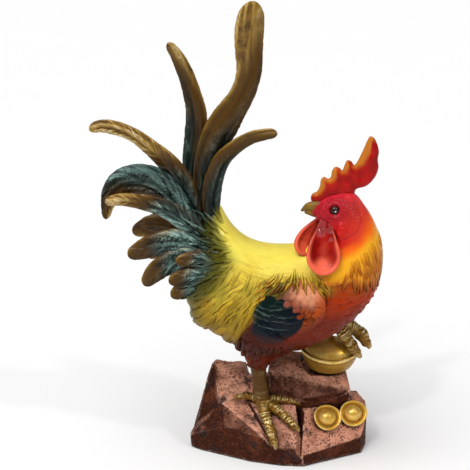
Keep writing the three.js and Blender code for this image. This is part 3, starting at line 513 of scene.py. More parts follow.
def put(mesh, name, values):
    """Stores a number, vector or colour on every point of a mesh"""
    values = np.asarray(values, np.float32)
    if values.ndim == 1:
        kind, field = "FLOAT", "value"
    elif name in ("paint", "wash"):
        kind, field = "FLOAT_COLOR", "color"
        values = np.hstack([clamp(values), np.ones((len(values), 1), np.float32)])
    else:
        kind, field = "FLOAT_VECTOR", "vector"
    layer = mesh.attributes.get(name) or mesh.attributes.new(name, kind, "POINT")
    layer.data.foreach_set(field, values.ravel())


def get(mesh, name):
    """Number stored on every point of a mesh"""
    out = np.zeros(len(mesh.vertices), np.float32)
    mesh.attributes[name].data.foreach_get("value", out)
    return out.astype(float)


def bands(rings, count, around=False):
    """Quads between rings of count points, with around also from the last ring to the first"""
    return [(r * count + k, r * count + n, after * count + n, after * count + k)
            for r, after in ((r, (r + 1) % rings) for r in range(rings - (not around)))
            for k, n in ((k, (k + 1) % count) for k in range(count))]


def tube(rings):
    """Points and faces of a skin over rings of points, closed by a fan at each end"""
    rings = np.asarray(rings, float)
    last, count = len(rings) * rings.shape[1], rings.shape[1]
    fans = [face for k, n in ((k, (k + 1) % count) for k in range(count))
            for face in ((last, n, k), (last + 1, last - count + k, last - count + n))]
    return np.vstack([rings.reshape(-1, 3), rings[0].mean(0), rings[-1].mean(0)]), bands(len(rings), count) + fans


def sleeve(line, side, face, radius, count):
    """Rings of points round a line, in the plane of side and face"""
    c, s = np.cos(circle(count)), np.sin(circle(count))
    ring = c[None, :, None] * side[:, None] + s[None, :, None] * face[:, None]
    return line[:, None] + ring * radius[:, None, None]


def join_parts(parts):
    """One list of points and one of faces from several"""
    points, faces, start = [], [], 0
    for p, f in parts:
        points.append(p)
        faces += [tuple(i + start for i in face) for face in f]
        start += len(p)
    return np.vstack(points), faces


def seat(piece, nodes, material=None):
    """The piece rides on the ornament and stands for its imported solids"""
    if material:
        give(piece, material)
    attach(piece, "root")
    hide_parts(*nodes)


def fuse(piece, other):
    """Joins the other object into the piece"""
    with bpy.context.temp_override(active_object=piece, selected_editable_objects=[piece, other]):
        bpy.ops.object.join()


def needed(name, kind="objects"):
    """A piece or material that another operator has made"""
    found = getattr(bpy.data, kind).get(name)
    if found is None:
        raise RuntimeError(f"make {name} first")
    return found


def give(obj, material):
    obj.data.materials.clear()
    obj.data.materials.append(material)
    obj.data.polygons.foreach_set("material_index", [0] * len(obj.data.polygons))


# Nodes -----------------------------------------------------

class Value:
    """Output of a node; a sum, product or power with it adds the node for that step"""

    def __init__(self, socket):
        self.socket, self.tree = socket, socket.id_data

    def __add__(self, other):
        return calc("ADD", self, other)

    def __sub__(self, other):
        return calc("SUBTRACT", self, other)

    def __rsub__(self, other):
        return calc("SUBTRACT", other, self)

    def __mul__(self, other):
        return calc("MULTIPLY", self, other)

    def __truediv__(self, other):
        return calc("DIVIDE", self, other)

    def __rtruediv__(self, other):
        return calc("DIVIDE", other, self)

    def __pow__(self, other):
        return calc("POWER", self, other)

    def __abs__(self):
        return calc("ABSOLUTE", self)


class Outputs:
    """Outputs of a node by name or number"""

    def __init__(self, node):
        self.node = node

    def __getitem__(self, key):
        return Value(self.node.outputs[key])


def feed(socket, value):
    """Links a socket to a node's output, or sets it to a constant"""
    if isinstance(value, Value):
        value.tree.links.new(value.socket, socket)
    elif socket.type == "RGBA" and len(value) == 3:
        socket.default_value = (*value, 1)
    else:
        socket.default_value = value


def place(kind, inputs=None, tree=None, **props):
    """Adds a node. inputs maps names or numbers of sockets to values; tree is needed if all are constants."""
    inputs = inputs or {}
    tree = tree or next(value.tree for value in inputs.values() if isinstance(value, Value))
    node = tree.nodes.new(kind)
    for key, value in props.items():
        setattr(node, key, value)
    for key, value in inputs.items():
        feed(node.inputs[key], value)
    return Outputs(node)


def calc(operation, *values, clamped=False):
    return place("ShaderNodeMath", dict(enumerate(values)), operation=operation, use_clamp=clamped)[0]


def vectors(operation, *values):
    result = "Value" if operation in ("DOT_PRODUCT", "LENGTH") else "Vector"
    return place("ShaderNodeVectorMath", dict(enumerate(values)), operation=operation)[result]


def scaled(vector, factor):
    return place("ShaderNodeVectorMath", {"Vector": vector, "Scale": factor}, operation="SCALE")["Vector"]


def combined(x, y, z):
    return place("ShaderNodeCombineXYZ", {"X": x, "Y": y, "Z": z})["Vector"]


def separated(vector):
    return place("ShaderNodeSeparateXYZ", {"Vector": vector})


def between(value, low, high, out_low=0.0, out_high=1.0):
    """Value from low to high moved smoothly to out_low to out_high"""
    inputs = {"Value": value, "From Min": low, "From Max": high, "To Min": out_low, "To Max": out_high}
    return place("ShaderNodeMapRange", inputs, interpolation_type="SMOOTHSTEP")["Result"]


def blend(factor, a, b, mode="MIX"):
    """Mixed colour; 6, 7 and 2 are the numbers of the Mix node's colour sockets"""
    return place("ShaderNodeMix", {0: factor, 6: a, 7: b}, data_type="RGBA", blend_type=mode, clamp_factor=True)[2]


def darkened(colour, share):
    return blend(1.0, colour, share, "MULTIPLY")


def speckle(vector, scale, detail=3.0, rough=0.55, warp=0.0):
    inputs = {"Vector": vector, "Scale": scale, "Detail": detail, "Roughness": rough, "Distortion": warp}
    return place("ShaderNodeTexNoise", inputs)["Fac"]


def spot(tree):
    """Place on the piece, in metres"""
    return place("ShaderNodeTexCoord", tree=tree)["Object"]


def stored(tree, name, kind="Fac"):
    """Value that the script has stored on the points"""
    return place("ShaderNodeAttribute", tree=tree, attribute_name=name)[kind]


def grouped(tree, name, sockets, outs, build):
    """Shader group made once; sockets gives the default, or kind, and the value of each input"""
    ins = {label: default for label, (default, _) in sockets.items()}
    group = made_once(name, "ShaderNodeTree", ins, outs, build)
    return place("ShaderNodeGroup", {label: value for label, (_, value) in sockets.items()}, tree, node_tree=group)


def made_once(name, kind, ins, outs, build):
    """Node tree with named sockets; build gives its outputs. A socket is given by its default or its kind."""
    tree = bpy.data.node_groups.get(name)
    if tree is None:
        tree = bpy.data.node_groups.new(name, kind)
        for way, sockets in (("INPUT", ins), ("OUTPUT", outs)):
            for label, default in sockets.items():
                sort = {int: "Int", float: "Float", tuple: "Color"}.get(type(default), default)
                socket = tree.interface.new_socket(label, in_out=way, socket_type=f"NodeSocket{sort}")
                if sort != default:
                    socket.default_value = default
        given = place("NodeGroupInput", tree=tree)
        place("NodeGroupOutput", dict(zip(outs, build(tree, given))), tree=tree)
    return tree


WHITE, BLACK = (1.0, 1.0, 1.0, 1.0), (0.0, 0.0, 0.0, 1.0)


def washed(tree, colour, wash, groove, amount, blot):
    """Dark thinned paint that has run into the grooves"""
    def build(tree, given):
        blots = speckle(spot(tree), 1.0 / given["Blot size"], 4.0)
        reach = given["Groove"] * between(blots, 0.3, 0.7, 0.55, 1.15)
        factor = calc("MULTIPLY", reach, given["Amount"], clamped=True)
        return [blend(factor, given["Colour"], given["Wash"])]

    return grouped(tree, "Groove wash", {
        "Colour": (WHITE, colour), "Wash": (BLACK, wash), "Groove": (0.0, groove), "Amount": (0.8, amount),
        "Blot size": (0.004, blot),
    }, {"Colour": "Color"}, build)["Colour"]


def brushed(tree, colour, brush, ridge, amount=1.0, bristle=0.0012):
    """Light paint dragged over the ridges with a nearly dry brush"""
    def build(tree, given):
        scale = 1.0 / given["Bristle size"]
        bristles = between(speckle(spot(tree), scale, 5.0, 0.65), 0.34, 0.66)
        patches = between(speckle(spot(tree), scale * 0.12, 2.0), 0.3, 0.62)
        mask = calc("MULTIPLY", given["Ridge"] * given["Amount"], bristles * patches, clamped=True)
        return [blend(mask, given["Colour"], given["Brush"])]

    return grouped(tree, "Dry brush", {
        "Colour": (WHITE, colour), "Brush": (WHITE, brush), "Ridge": (0.0, ridge), "Amount": (0.6, amount),
        "Bristle size": (0.0012, bristle),
    }, {"Colour": "Color"}, build)["Colour"]


def paint_grain(tree, grain, cloud):
    """Fine unevenness of brushed and sprayed paint on cast resin, and a slow change of tone"""
    def build(tree, given):
        fine = speckle(spot(tree), 1.0 / given["Grain size"])
        soft = speckle(spot(tree), 0.25 / given["Grain size"], 2.0)
        return calc("MULTIPLY_ADD", fine, 0.4, soft), speckle(spot(tree), 1.0 / given["Cloud size"])

    node = grouped(tree, "Paint grain", {"Grain size": (0.0008, grain), "Cloud size": (0.02, cloud)},
                   {"Height": "Float", "Cloud": "Float"}, build)
    return node["Height"], node["Cloud"]


def strands(tree, spacing, stretch=12.0):
    """Streaks that follow the piece's own grain coordinates, in millimetres along and across"""
    def build(_, given):
        grain = separated(given["Grain"])
        down = grain["Y"] / (given["Spacing"] * given["Stretch"])
        flow = combined(grain["X"] / given["Spacing"], down, grain["Z"])
        return between(speckle(flow, 1.0, 2.0, 0.5, 0.15), 0.32, 0.68), speckle(flow, 2.7, 2.0, 0.6, 0.1)

    node = grouped(tree, "Strands", {
        "Grain": ("Vector", stored(tree, "grain", "Vector")), "Spacing": (1.6, spacing), "Stretch": (12.0, stretch),
    }, {"Ridge": "Float", "Fine": "Float"}, build)
    return node["Ridge"], node["Fine"]


def new_material(name):
    """Material with a Principled shader, its node tree, and the function that fills the shader's sockets"""
    material = bpy.data.materials.new(name)
    material.use_nodes = True
    shader = material.node_tree.nodes["Principled BSDF"]

    def finish(colour, **inputs):
        feed(shader.inputs["Base Color"], colour)
        for key, value in inputs.items():
            feed(shader.inputs[key.replace("_", " ")], value)
        return material

    return material.node_tree, finish


def crevice_wash_and_shade(tree, reach):
    """1 deep in a groove or close under another part, 0 in the open: where a dark wash settles, and painted shade where
    parts lie close together
    """
    node = place("ShaderNodeAmbientOcclusion", {"Distance": reach * MM}, tree, samples=8, only_local=False)
    return between(node["AO"], 0.35, 0.95, 1.0, 0.0)


def bumps(height, distance, strength=0.6, under=None):
    inputs = {"Height": height, "Distance": distance * MM, "Strength": strength}
    if under:
        inputs["Normal"] = under
    return place("ShaderNodeBump", inputs)["Normal"]


SHINE = 0.05  # specular level of the satin paints; the pale floor would wash out a higher one


def feather_paint(name, gloss=0.36):
    """Body paint: colour stored on the points, strands, dark wash in the grooves with painted shade where parts lie
    close, and light on the ridges
    """
    tree, finish = new_material(name)
    base, soft = stored(tree, "paint", "Color"), stored(tree, "soft")
    ridge, fine = strands(tree, 1.3)
    height, cloud = paint_grain(tree, 0.0009, 0.018)
    warm = blend(between(cloud, 0.35, 0.65, 0.0, 0.22), base, darkened(base, (0.85, 0.55, 0.3)))
    # deep: dark wash in the grooves and painted shade where parts lie close
    deep = crevice_wash_and_shade(tree, 2.0)
    groove = calc("MAXIMUM", (1.0 - ridge) * soft * 0.55, deep)
    colour = washed(tree, warm, stored(tree, "wash", "Color"), groove, 0.85, 0.005)
    raised = ridge * soft
    relief = bumps(fine * soft, 0.25, 0.6, bumps(raised, 0.5, 0.7))
    return finish(
        brushed(tree, colour, darkened(base, (1.25, 1.2, 1.0)), raised, 0.5), Specular_IOR_Level=SHINE,
        Roughness=between(cloud, 0.3, 0.7, gloss - 0.06, gloss + 0.1), Coat_Weight=(1.0 - deep) * 0.18,
        Coat_Roughness=0.12, Normal=bumps(height, 0.1, 0.35, relief),
    )


def blade_paint(name):
    """Tail paint: teal to gold along the feather, light paint dragged over the barbs, the silvery part of it partly a
    painted highlight, and dark wash between them with painted shade where feathers lie close
    """
    tree, finish = new_material(name)
    barbs = strands(tree, 1.5, 9.0)[0]
    height, cloud = paint_grain(tree, 0.001, 0.02)
    drift = (cloud - 0.5) * 0.4
    edge, silver_and_sheen = stored(tree, "gilt") + drift, stored(tree, "silver_and_sheen") + drift
    # silvery paint over the teal, partly a painted highlight
    toned = blend(between(silver_and_sheen, 0.1, 1.2, 0.0, 0.3), ink("tail_teal"), ink("tail_silver_and_sheen"))
    toned = blend(between(edge, 0.0, 0.6), toned, ink("tail_bronze"))
    toned = blend(between(edge, 0.6, 1.2), toned, ink("tail_gold"))
    # deep: dark wash in the grooves and painted shade where feathers lie close
    relief, deep = stored(tree, "barb"), crevice_wash_and_shade(tree, 3.5)
    groove = calc("MAXIMUM", calc("MAXIMUM", between(relief, 0.05, -0.5), deep),
                  between(barbs, 0.45, 0.1, 0.0, 0.6) * stored(tree, "streaky"))
    wash = blend(between(edge, 0.2, 0.9), (0.002, 0.005, 0.004), (0.115, 0.058, 0.017))
    raised = between(relief, -0.1, 0.55) * between(barbs, 0.3, 0.8, 0.45, 1.0)
    # silvery paint dragged over the ridges, partly a painted highlight
    bright = calc("MAXIMUM", between(silver_and_sheen, 0.0, 0.9, 0.04, 1.0) * between(edge, 0.55, 0.2), between(edge, 0.75, 1.25))
    brush = blend(between(edge, 0.1, 0.5), ink("tail_silver_and_sheen", 1.5), (0.95, 0.8, 0.48))
    colour = washed(tree, toned, wash, groove, 0.9, 0.006)
    return finish(
        brushed(tree, colour, brush, raised * bright, bristle=0.004), Specular_IOR_Level=SHINE,
        Metallic=between(edge, 0.5, 1.2) * 0.2, Roughness=between(cloud, 0.3, 0.7, 0.32, 0.46),
        Coat_Weight=(1.0 - deep) * 0.26, Coat_Roughness=0.12, Normal=bumps(height, 0.1, 0.35, bumps(barbs, 0.35, 0.8)),
    )


def flesh_paint(name, deep, rim, gloss):
    """Comb and wattles: deep red with a glow towards the thin edges, under thick gloss"""
    tree, finish = new_material(name)
    height, cloud = paint_grain(tree, 0.0016, 0.012)
    edge = stored(tree, "glow") + (cloud - 0.5) * 0.45
    body = blend(between(edge, 0.15, 0.9), blend(between(cloud, 0.35, 0.65), 0.7 * deep, 1.15 * deep), rim)
    return finish(
        # dark wash in the grooves and painted shade where comb or wattle lies close to the head
        washed(tree, body, (0.12, 0.004, 0.004), crevice_wash_and_shade(tree, 4.0), 0.8, 0.004), Specular_IOR_Level=0.06,
        Subsurface_Weight=0.12, Subsurface_Scale=0.004, Roughness=between(cloud, 0.3, 0.7, gloss, gloss + 0.12),
        Coat_Weight=between(cloud, 0.2, 0.8, 0.14, 0.24), Coat_Roughness=0.07, Normal=bumps(height, 0.22, 0.35),
    )


def gold_paint(name, colour, wash, gloss, metal, reach=3.5):
    """Gold paint: worn bright on the ridges, brown in the recesses as a wash and as painted shade where parts lie close
    """
    tree, finish = new_material(name)
    height, cloud = paint_grain(tree, 0.0009, 0.012)
    ridge, dull = stored(tree, "ridge"), stored(tree, "dull")
    # brown wash in the recesses, and painted shade where toes or ingots lie close to other parts
    groove = calc("MAXIMUM", crevice_wash_and_shade(tree, reach), between(ridge, 0.0, -0.8))
    tinted = blend(dull, blend(between(cloud, 0.3, 0.7, 0.0, 0.35), colour, wash), wash)
    bright = calc("SUBTRACT", between(ridge, 0.05, 0.6), dull, clamped=True)
    dark = washed(tree, tinted, wash, groove, 0.9, 0.004)
    return finish(
        brushed(tree, dark, (1.0, 0.84, 0.42), bright), Specular_IOR_Level=0.2,
        Metallic=calc("MULTIPLY_ADD", 1.0 - groove, metal, 0.1),
        Roughness=between(cloud, 0.3, 0.7, gloss, gloss + 0.14), Normal=bumps(height, 0.14, 0.4),
    )


def rock_paint(name):
    """Copper rose on the facets that look up and right and dark brown on the walls, partly painted light and shade;
    black in the pits and flecks, dark wash in the clefts and painted shade where parts lie close
    """
    tree, finish = new_material(name)
    at = spot(tree)
    height, cloud = paint_grain(tree, 0.0011, 0.012)
    # painted light and shade: facets that face up and right lighter, walls darker, over the paint's own copper and
    # brown
    facing = vectors("DOT_PRODUCT", stored(tree, "facing", "Vector"), (0.32, 0.0, 1.0))
    left = between(separated(at)["X"], -0.045, -0.072, 0.0, 0.74) * between(separated(at)["Z"], 0.045, 0.06)
    level = facing - left + (cloud - 0.5) * 0.5
    mottle = between(speckle(at, 420.0, 4.0, 0.7), 0.5, 0.66, 0.0, 0.5)
    base = blend(between(level, 0.36, 0.78), blend(mottle, ink("rock_brown"), ink("rock_rust")), ink("rock_copper"))
    base = blend(between(stored(tree, "facet"), 0.0, 0.7, 0.5, 0.0), base, darkened(base, (0.6, 0.45, 0.42)))
    base = blend(between(speckle(at, 60.0), 0.5, 0.68, 0.0, 0.5), base, ink("rock_rust"))
    smoke = speckle(at, 75.0, 5.0, 0.62, 0.4)
    base = blend(between(smoke, 0.54, 0.68, 0.0, 0.85), base, (0.03, 0.022, 0.024))
    lit = brushed(tree, base, (0.88, 0.5, 0.36), between(stored(tree, "ridge"), 0.15, 0.7), bristle=0.0016)
    flecks = place("ShaderNodeTexVoronoi", {"Vector": at, "Scale": 560.0, "Randomness": 1.0})["Distance"]
    flecked = between(flecks, 0.42, 0.24) * between(speckle(at, 90.0), 0.36, 0.5)
    # black in pits and flecks, dark wash in the clefts, and painted shade under the legs and ingots
    groove = calc("MAXIMUM", calc("MAXIMUM", stored(tree, "pit"), flecked), crevice_wash_and_shade(tree, 4.0))
    return finish(
        washed(tree, lit, (0.014, 0.007, 0.006), groove, 1.0, 0.003), Specular_IOR_Level=SHINE,
        Roughness=between(cloud, 0.3, 0.7, 0.4, 0.62), Normal=bumps(1.0 - flecked, 0.5, 0.7, bumps(height, 0.5, 0.6)),
    )


# Feather blades and scaled limbs, made by geometry nodes ---

def keep(geometry, label, value, kind="FLOAT"):
    """Stores a value on the points"""
    return place("GeometryNodeStoreNamedAttribute", {"Geometry": geometry, "Name": label, "Value": value},
                 data_type=kind, domain="POINT")[0]


def named(tree, labels, kind="FLOAT"):
    return [place("GeometryNodeInputNamedAttribute", {"Name": label}, tree, data_type=kind)["Attribute"]
            for label in labels.split()]


def swept(tree, given):
    """Sweeps a ring along the guide lines; the guides' places, headings and shares go along as attributes"""
    here = place("GeometryNodeInputPosition", tree=tree)[0]
    ring = place("GeometryNodeCurvePrimitiveCircle", {"Resolution": given["Ring points"], "Radius": 1.0})[0]
    ring = keep(keep(ring, "across", separated(here)["X"]), "face", separated(here)["Y"])
    lines = place("GeometryNodeMeshToCurve", {"Mesh": given["Guides"]})["Curve"]
    spline = place("GeometryNodeSplineParameter", tree=tree)
    ahead = place("GeometryNodeInputTangent", tree=tree)[0]
    lines = keep(keep(lines, "share", spline["Factor"]), "run", spline["Length"])
    lines = keep(keep(lines, "spine", here, "FLOAT_VECTOR"), "ahead", ahead, "FLOAT_VECTOR")
    return place("GeometryNodeCurveToMesh", {"Curve": lines, "Profile Curve": ring, "Fill Caps": True})[0]


def moved(mesh, spine, side, across, up, height, given):
    """Moves the points beside and over the spine; ends in Realize Instances and Set Material"""
    at = vectors("ADD", spine, vectors("ADD", scaled(side, across), scaled(up, height)))
    mesh = place("GeometryNodeSetPosition", {"Geometry": mesh, "Position": at})[0]
    whole = place("GeometryNodeRealizeInstances", {"Geometry": mesh})[0]
    return [place("GeometryNodeSetMaterial", {"Geometry": whole, "Material": given["Material"]})[0]]


def blade_tree():
    """Cupped, ribbed and barbed feather along every guide line"""
    def build(tree, given):
        mesh = swept(tree, given)
        across, face, share, run, half, thick, cup, seed = named(tree, "across face share run half thick cup seed")
        up, spine, ahead = named(tree, "up spine ahead", "FLOAT_VECTOR")
        side = vectors("NORMALIZE", vectors("CROSS_PRODUCT", ahead, up))
        out = abs(across)
        # barbs: strips that run out and forward from the rib
        phase = run - out * half * given["Barb lean"]
        lane = seed * 17.0 + given["Seed"]
        beside = across * half
        wave = speckle(combined(phase / given["Barb spacing"], beside / (given["Barb spacing"] * 5.0), lane),
                       1.0, 1.0, 0.5, 0.2)
        barb = between(wave, 0.32, 0.68, -1.0, 1.0) * between(out, 0.04, 0.25)
        # folds: long furrows beside the rib
        furrow = speckle(combined(beside / given["Fold width"], run / 0.05, lane), 1.0, 1.0, 0.5, 0.3)
        fold = between(furrow, 0.3, 0.7, -1.0, 1.0)
        relief = (barb * given["Barbs"] + fold * 0.7) * between(out, 1.0, 0.8, 0.35, 1.0)
        # notches in the margin, where barbs part
        bite = between(barb, 0.1, -0.9) * between(out, 0.6, 1.0) * given["Edge notch"]
        width = half * (1.0 - bite)
        sign = calc("SIGN", face)
        through = abs(face) ** given["Edge fullness"] * sign * (thick * 0.5)
        bowl = cup * half * (0.5 - out * out)
        rib = between(out, 0.16, 0.0) * given["Rib height"] * (sign * between(share, 1.0, 0.55, 0.15, 1.0))
        raised = relief * given["Relief"] * face
        mesh = keep(mesh, "barb", relief)
        mesh = keep(mesh, "grain", combined(phase * 1000.0, beside * 1000.0, lane), "FLOAT_VECTOR")
        return moved(mesh, spine, side, across * width, up, through + bowl + (rib + raised), given)

    return made_once("Feather blades", "GeometryNodeTree", {
        "Guides": "Geometry", "Ring points": 12, "Rib height": 0.0, "Barb spacing": 0.0026, "Relief": 0.0,
        "Barb lean": 1.2, "Fold width": 0.0024, "Barbs": 0.6, "Edge notch": 0.0, "Edge fullness": 0.6, "Seed": 1.0,
        "Material": "Material"}, {"Blades": "Geometry"}, build)


def limb_tree():
    """Leg or toe with rings of scales along every guide line"""
    def build(tree, given):
        mesh = swept(tree, given)
        across, face, run, half, gilt = named(tree, "across face run half gilt")
        up, spine, ahead = named(tree, "up spine ahead", "FLOAT_VECTOR")
        side = vectors("NORMALIZE", vectors("CROSS_PRODUCT", ahead, up))
        # rings lean forward on the front of the limb and break up behind
        phase = run / given["Scute spacing"] - face * 0.35
        here = vectors("ADD", spine, scaled(side, across * half))
        wobble = calc("MULTIPLY_ADD", speckle(spine, 120.0, 1.0), 4.5, speckle(here, 240.0, 2.0) * 2.2)
        saw = calc("FRACT", phase + wobble)
        swell = calc("SINE", saw ** 0.75 * math.pi)
        pebble = place("ShaderNodeTexVoronoi", {"Vector": here, "Scale": 520.0})["Distance"]
        front = between(face, -0.45, 0.15)
        relief = ((swell - 0.55) * front + (0.35 - pebble) * (1.0 - front)) * gilt
        radius = half + relief * given["Scute depth"]
        mesh = keep(mesh, "ridge", relief * 1.6)
        return moved(mesh, spine, side, across * radius, up, face * radius, given)

    return made_once("Scaled limbs", "GeometryNodeTree", {
        "Guides": "Geometry", "Ring points": 32, "Scute spacing": 0.0027, "Scute depth": 0.0005,
        "Material": "Material"}, {"Limbs": "Geometry"}, build)


def bake(obj):
    """Puts what the modifiers make in place of the mesh"""
    bpy.context.view_layer.update()
    graph = bpy.context.evaluated_depsgraph_get()
    made = bpy.data.meshes.new_from_object(obj.evaluated_get(graph), preserve_all_data_layers=True, depsgraph=graph)
    obj.modifiers.clear()
    source, obj.data = obj.data, made
    bpy.data.meshes.remove(source)
    made.name = obj.name
    made.shade_smooth()


class Guides:
    """Lines that geometry nodes sweep, with a value of each kind at every point"""

    KINDS = ("up", "half", "thick", "cup", "seed", "gilt")

    def __init__(self):
        self.points, self.edges = [], []
        self.values = {kind: [] for kind in self.KINDS}
        self.count = 0

    def add(self, points, up, half, thick=0.0, cup=0.0, gilt=0.0):
        """One line in millimetres; up holds the direction of its face at each point"""
        start = len(self.points)
        total = len(points)
        self.points += [tuple(p) for p in points]
        self.edges += [(start + i, start + i + 1) for i in range(total - 1)]
        given = dict(half=np.asarray(half) * MM, thick=np.asarray(thick) * MM, cup=cup, gilt=gilt,
                     seed=self.count * 0.618 % 1)
        self.values["up"] += [tuple(v) for v in up]
        for kind, value in given.items():
            self.values[kind] += list(np.broadcast_to(value, total))
        self.count += 1

    def sweep(self, name, tree, inputs):
        """Plain mesh that the tree makes along the lines"""
        mesh = bpy.data.meshes.new(name)
        mesh.from_pydata((np.asarray(self.points) * MM).tolist(), self.edges, [])
        for kind in self.KINDS:
            put(mesh, kind, self.values[kind])
        obj = show(name, mesh)
        modifier = obj.modifiers.new("Sweep", "NODES")
        modifier.node_group = tree
        keys = {item.name: item.identifier for item in tree.interface.items_tree if item.in_out == "INPUT"}
        for label, value in inputs.items():
            modifier[keys[label]] = value
        bake(obj)
        turn_out(obj.data)
        return obj


def drop(mesh, names):
    for name in names:
        if name in mesh.attributes:
            mesh.attributes.remove(mesh.attributes[name])


SWEEP_ONLY = ("up", "half", "thick", "cup", "seed", "spine", "ahead", "run", "face", "across")


# The body's skin -------------------------------------------

def skin(row, turn, lift=0.0):
    """Points of the body's skin: row counts table rows, turn is 0 on the outer rail, -90 on the near side"""
    row, turn = np.broadcast_arrays(np.asarray(row, float), np.asarray(turn, float))
    ix, iz, ox, oz, half, shift = np.moveaxis(along(BODY_ROWS, row / LAST_ROW), -1, 0)
    reach = columns(ox - ix, 0, oz - iz) / 2
    long = np.linalg.norm(reach, axis=-1, keepdims=True)
    angle = np.radians(turn)
    c, k = np.cos(angle), np.sin(angle)
    fill = (np.abs(c) ** BODY_FULLNESS + np.abs(k) ** BODY_FULLNESS) ** (-1 / BODY_FULLNESS)
    middle = columns((ix + ox) / 2, shift + (half + lift) * k * fill, (iz + oz) / 2)
    return middle + reach / long * (long + np.expand_dims(lift, -1) * np.ones_like(long)) * (c * fill)[..., None]


def skin_out(row, turn):
    """Outward direction of the skin"""
    row, turn = np.broadcast_arrays(np.asarray(row, float), np.asarray(turn, float))
    ds = skin(row + 0.04, turn) - skin(row - 0.04, turn)
    dt = skin(row, turn + 1) - skin(row, turn - 1)
    out = unit(np.cross(ds, dt))
    middle = (skin(row, 0 * turn) + skin(row, 0 * turn + 180)) / 2
    flip = np.sign(np.einsum("...i,...i->...", out, skin(row, turn) - middle))
    return out * np.where(flip == 0, 1, flip)[..., None]


NECK_TURNS = [0, 28, 46, 62, 80, 90, 104, 130, 180]
MANTLE_ENDS = [10.65, 10.6, 10.43, 10.2, 9.85, 9.5, 8.8, 8.5, 8.4]
RED_ENDS = [13.1, 12.95, 12.7, 12.4, 11.95, 11.65, 11.35, 10.9, 10.5]
YELLOW_STARTS = [12.1, 12.0, 11.9, 11.7, 11.1, 10.8, 10.4, 10.0, 9.7]


def off_rail(turn):
    """Turn away from the outer rail, 0 to 180, alike on both sides"""
    return np.abs((np.asarray(turn, float) + 180) % 360 - 180)


def neck_row(rows, turn):
    """Row at each turn round the neck, from a list over NECK_TURNS"""
    return np.interp(off_rail(turn), NECK_TURNS, rows)


def mantle_edge(turn):
    """Row at which the neck mantle ends"""
    return neck_row(MANTLE_ENDS, turn)


def saddle_edge(x):
    """Height of the saddle's lower edge on the flank"""
    return np.interp(x, [p[0] for p in SADDLE_EDGE], [p[1] for p in SADDLE_EDGE])


def under_saddle(x, z, row, soft=4):
    """1 on breast, belly and thighs, 0 on the saddle"""
    return np.maximum(ease(z - saddle_edge(x), soft, -soft), ease(row, 8.6, 9.6))


def coats(colour, *layers):
    """Colour under further coats of paint; each layer is a colour and the share to which it covers"""
    for coat, share in layers:
        share = np.asarray(share)[..., None]
        colour = colour * (1 - share) + coat * share
    return colour


def body_colours(points, row, turn):
    """Paint of the body at points of its skin, and the colour of the wash in its grooves"""
    x, z = points[:, 0], points[:, 2]
    around = off_rail(turn)
    wander = lumps(points, 16.0, 3.0, 2)
    # neck: red head, orange nape, yellow mantle with ochre tips
    red_end = neck_row(RED_ENDS, turn) + 0.22 * wander
    yellow = neck_row(YELLOW_STARTS, turn) + 0.22 * wander
    up_neck = row - red_end
    colour = coats(
        ink("hackle_yellow"),
        (ink("nape_orange"), ease((row - yellow) / (red_end - yellow), -0.1, 0.75)),
        (ink("head_red"), ease(up_neck, -0.35, 0.45)),
        (ink("face_rose"), 0.6 * ease(z - 0.5 * x, 184, 200) * ease(up_neck, 0, 0.6)),
        # painted highlight: coral sheen on the back of the head
        (ink("wattle_rim"), 0.26 * ease(x, 42, 62) * ease(up_neck, -0.2, 0.4) * ease(z, 240, 226)),
    )
    over = row - mantle_edge(turn)
    colour = coats(ink("hackle_tip"), (colour, ease(over, -0.25, 0.75)))
    # breast, belly and flank under the mantle
    low = coats(
        ink("belly_brown"),
        (ink("breast_brown"), ease(z + 0.25 * x, 100, 128)),
        (ink("breast_orange"), ease(z + 0.12 * x + 5 * wander, 132, 160)),
        (ink("belly_brown"), ease(-x, -2, 34) * ease(-z, -150, -120)),
        (ink("thigh_brown"), ease(z, 106, 92) * ease(x, 30, 0)),
        (ink("hackle_tip", 0.8), 0.75 * ease(over + 0.2 * wander, -1.0, 0.0)),
    )
    # saddle over the flank and the rump
    above = z - saddle_edge(x) + 3 * wander
    saddle = coats(ink("saddle_ochre", (0.68, 0.62, 0.5)), (ink("saddle_ochre"), ease(z, 108, 138)))
    patchy = lumps(points * [1, 1, 0.6], 9.0, 12.0, 2)
    saddle = coats(
        saddle,
        (ink("saddle_yellow", (0.84, 0.72, 0.5)), ease(z - 0.1 * x + 14 * patchy, 134, 170)),
        (ink("saddle_olive"), 0.35 * ease(patchy, 0.1, 0.45) * ease(z, 184, 160)),
        (ink("saddle_yellow"), ease(z - 0.1 * x, 164, 196)),
    )
    saddle = coats(ink("saddle_ochre", (0.62, 0.5, 0.4)), (saddle, ease(above, 0, 11)))
    past = np.interp(z, *ROOT_EDGE) - x
    saddle = coats(
        saddle,
        (ink("saddle_olive"), ease(past + 3 * wander, -26, -4) * ease(around, 160, 130)),
        (ink("tail_teal"), ease(past, -4, 9) * ease(around, 160, 130)),
    )
    side_of_back = ease(row, 9.4, 8.2)
    low = coats(low, (saddle, ease(above, -3, 3) * side_of_back))
    # back between neck and rump stays yellow
    low = coats(low, (ink("saddle_yellow"), ease(around, 118, 150) * ease(row, 11.5, 9.5)))
    on_back = ease(around, 100, 122)
    colour = coats(low, (colour, ease(over, -0.1, 0.04) * (1 - on_back) + ease(over, 0.4, 1.6) * on_back))
    wash = coats(
        ink("groove_brown"),
        (ink("saddle_groove"), ease(above, -4, 4) * side_of_back),
        (ink("tail_teal", 0.5), ease(past, -8, 4) * side_of_back),
        (ink("nape_orange", 0.55), ease(over, -0.3, 0.3)),
        (ink("head_red", 0.25), ease(up_neck, -0.4, 0.4)),
    )
    return colour, wash


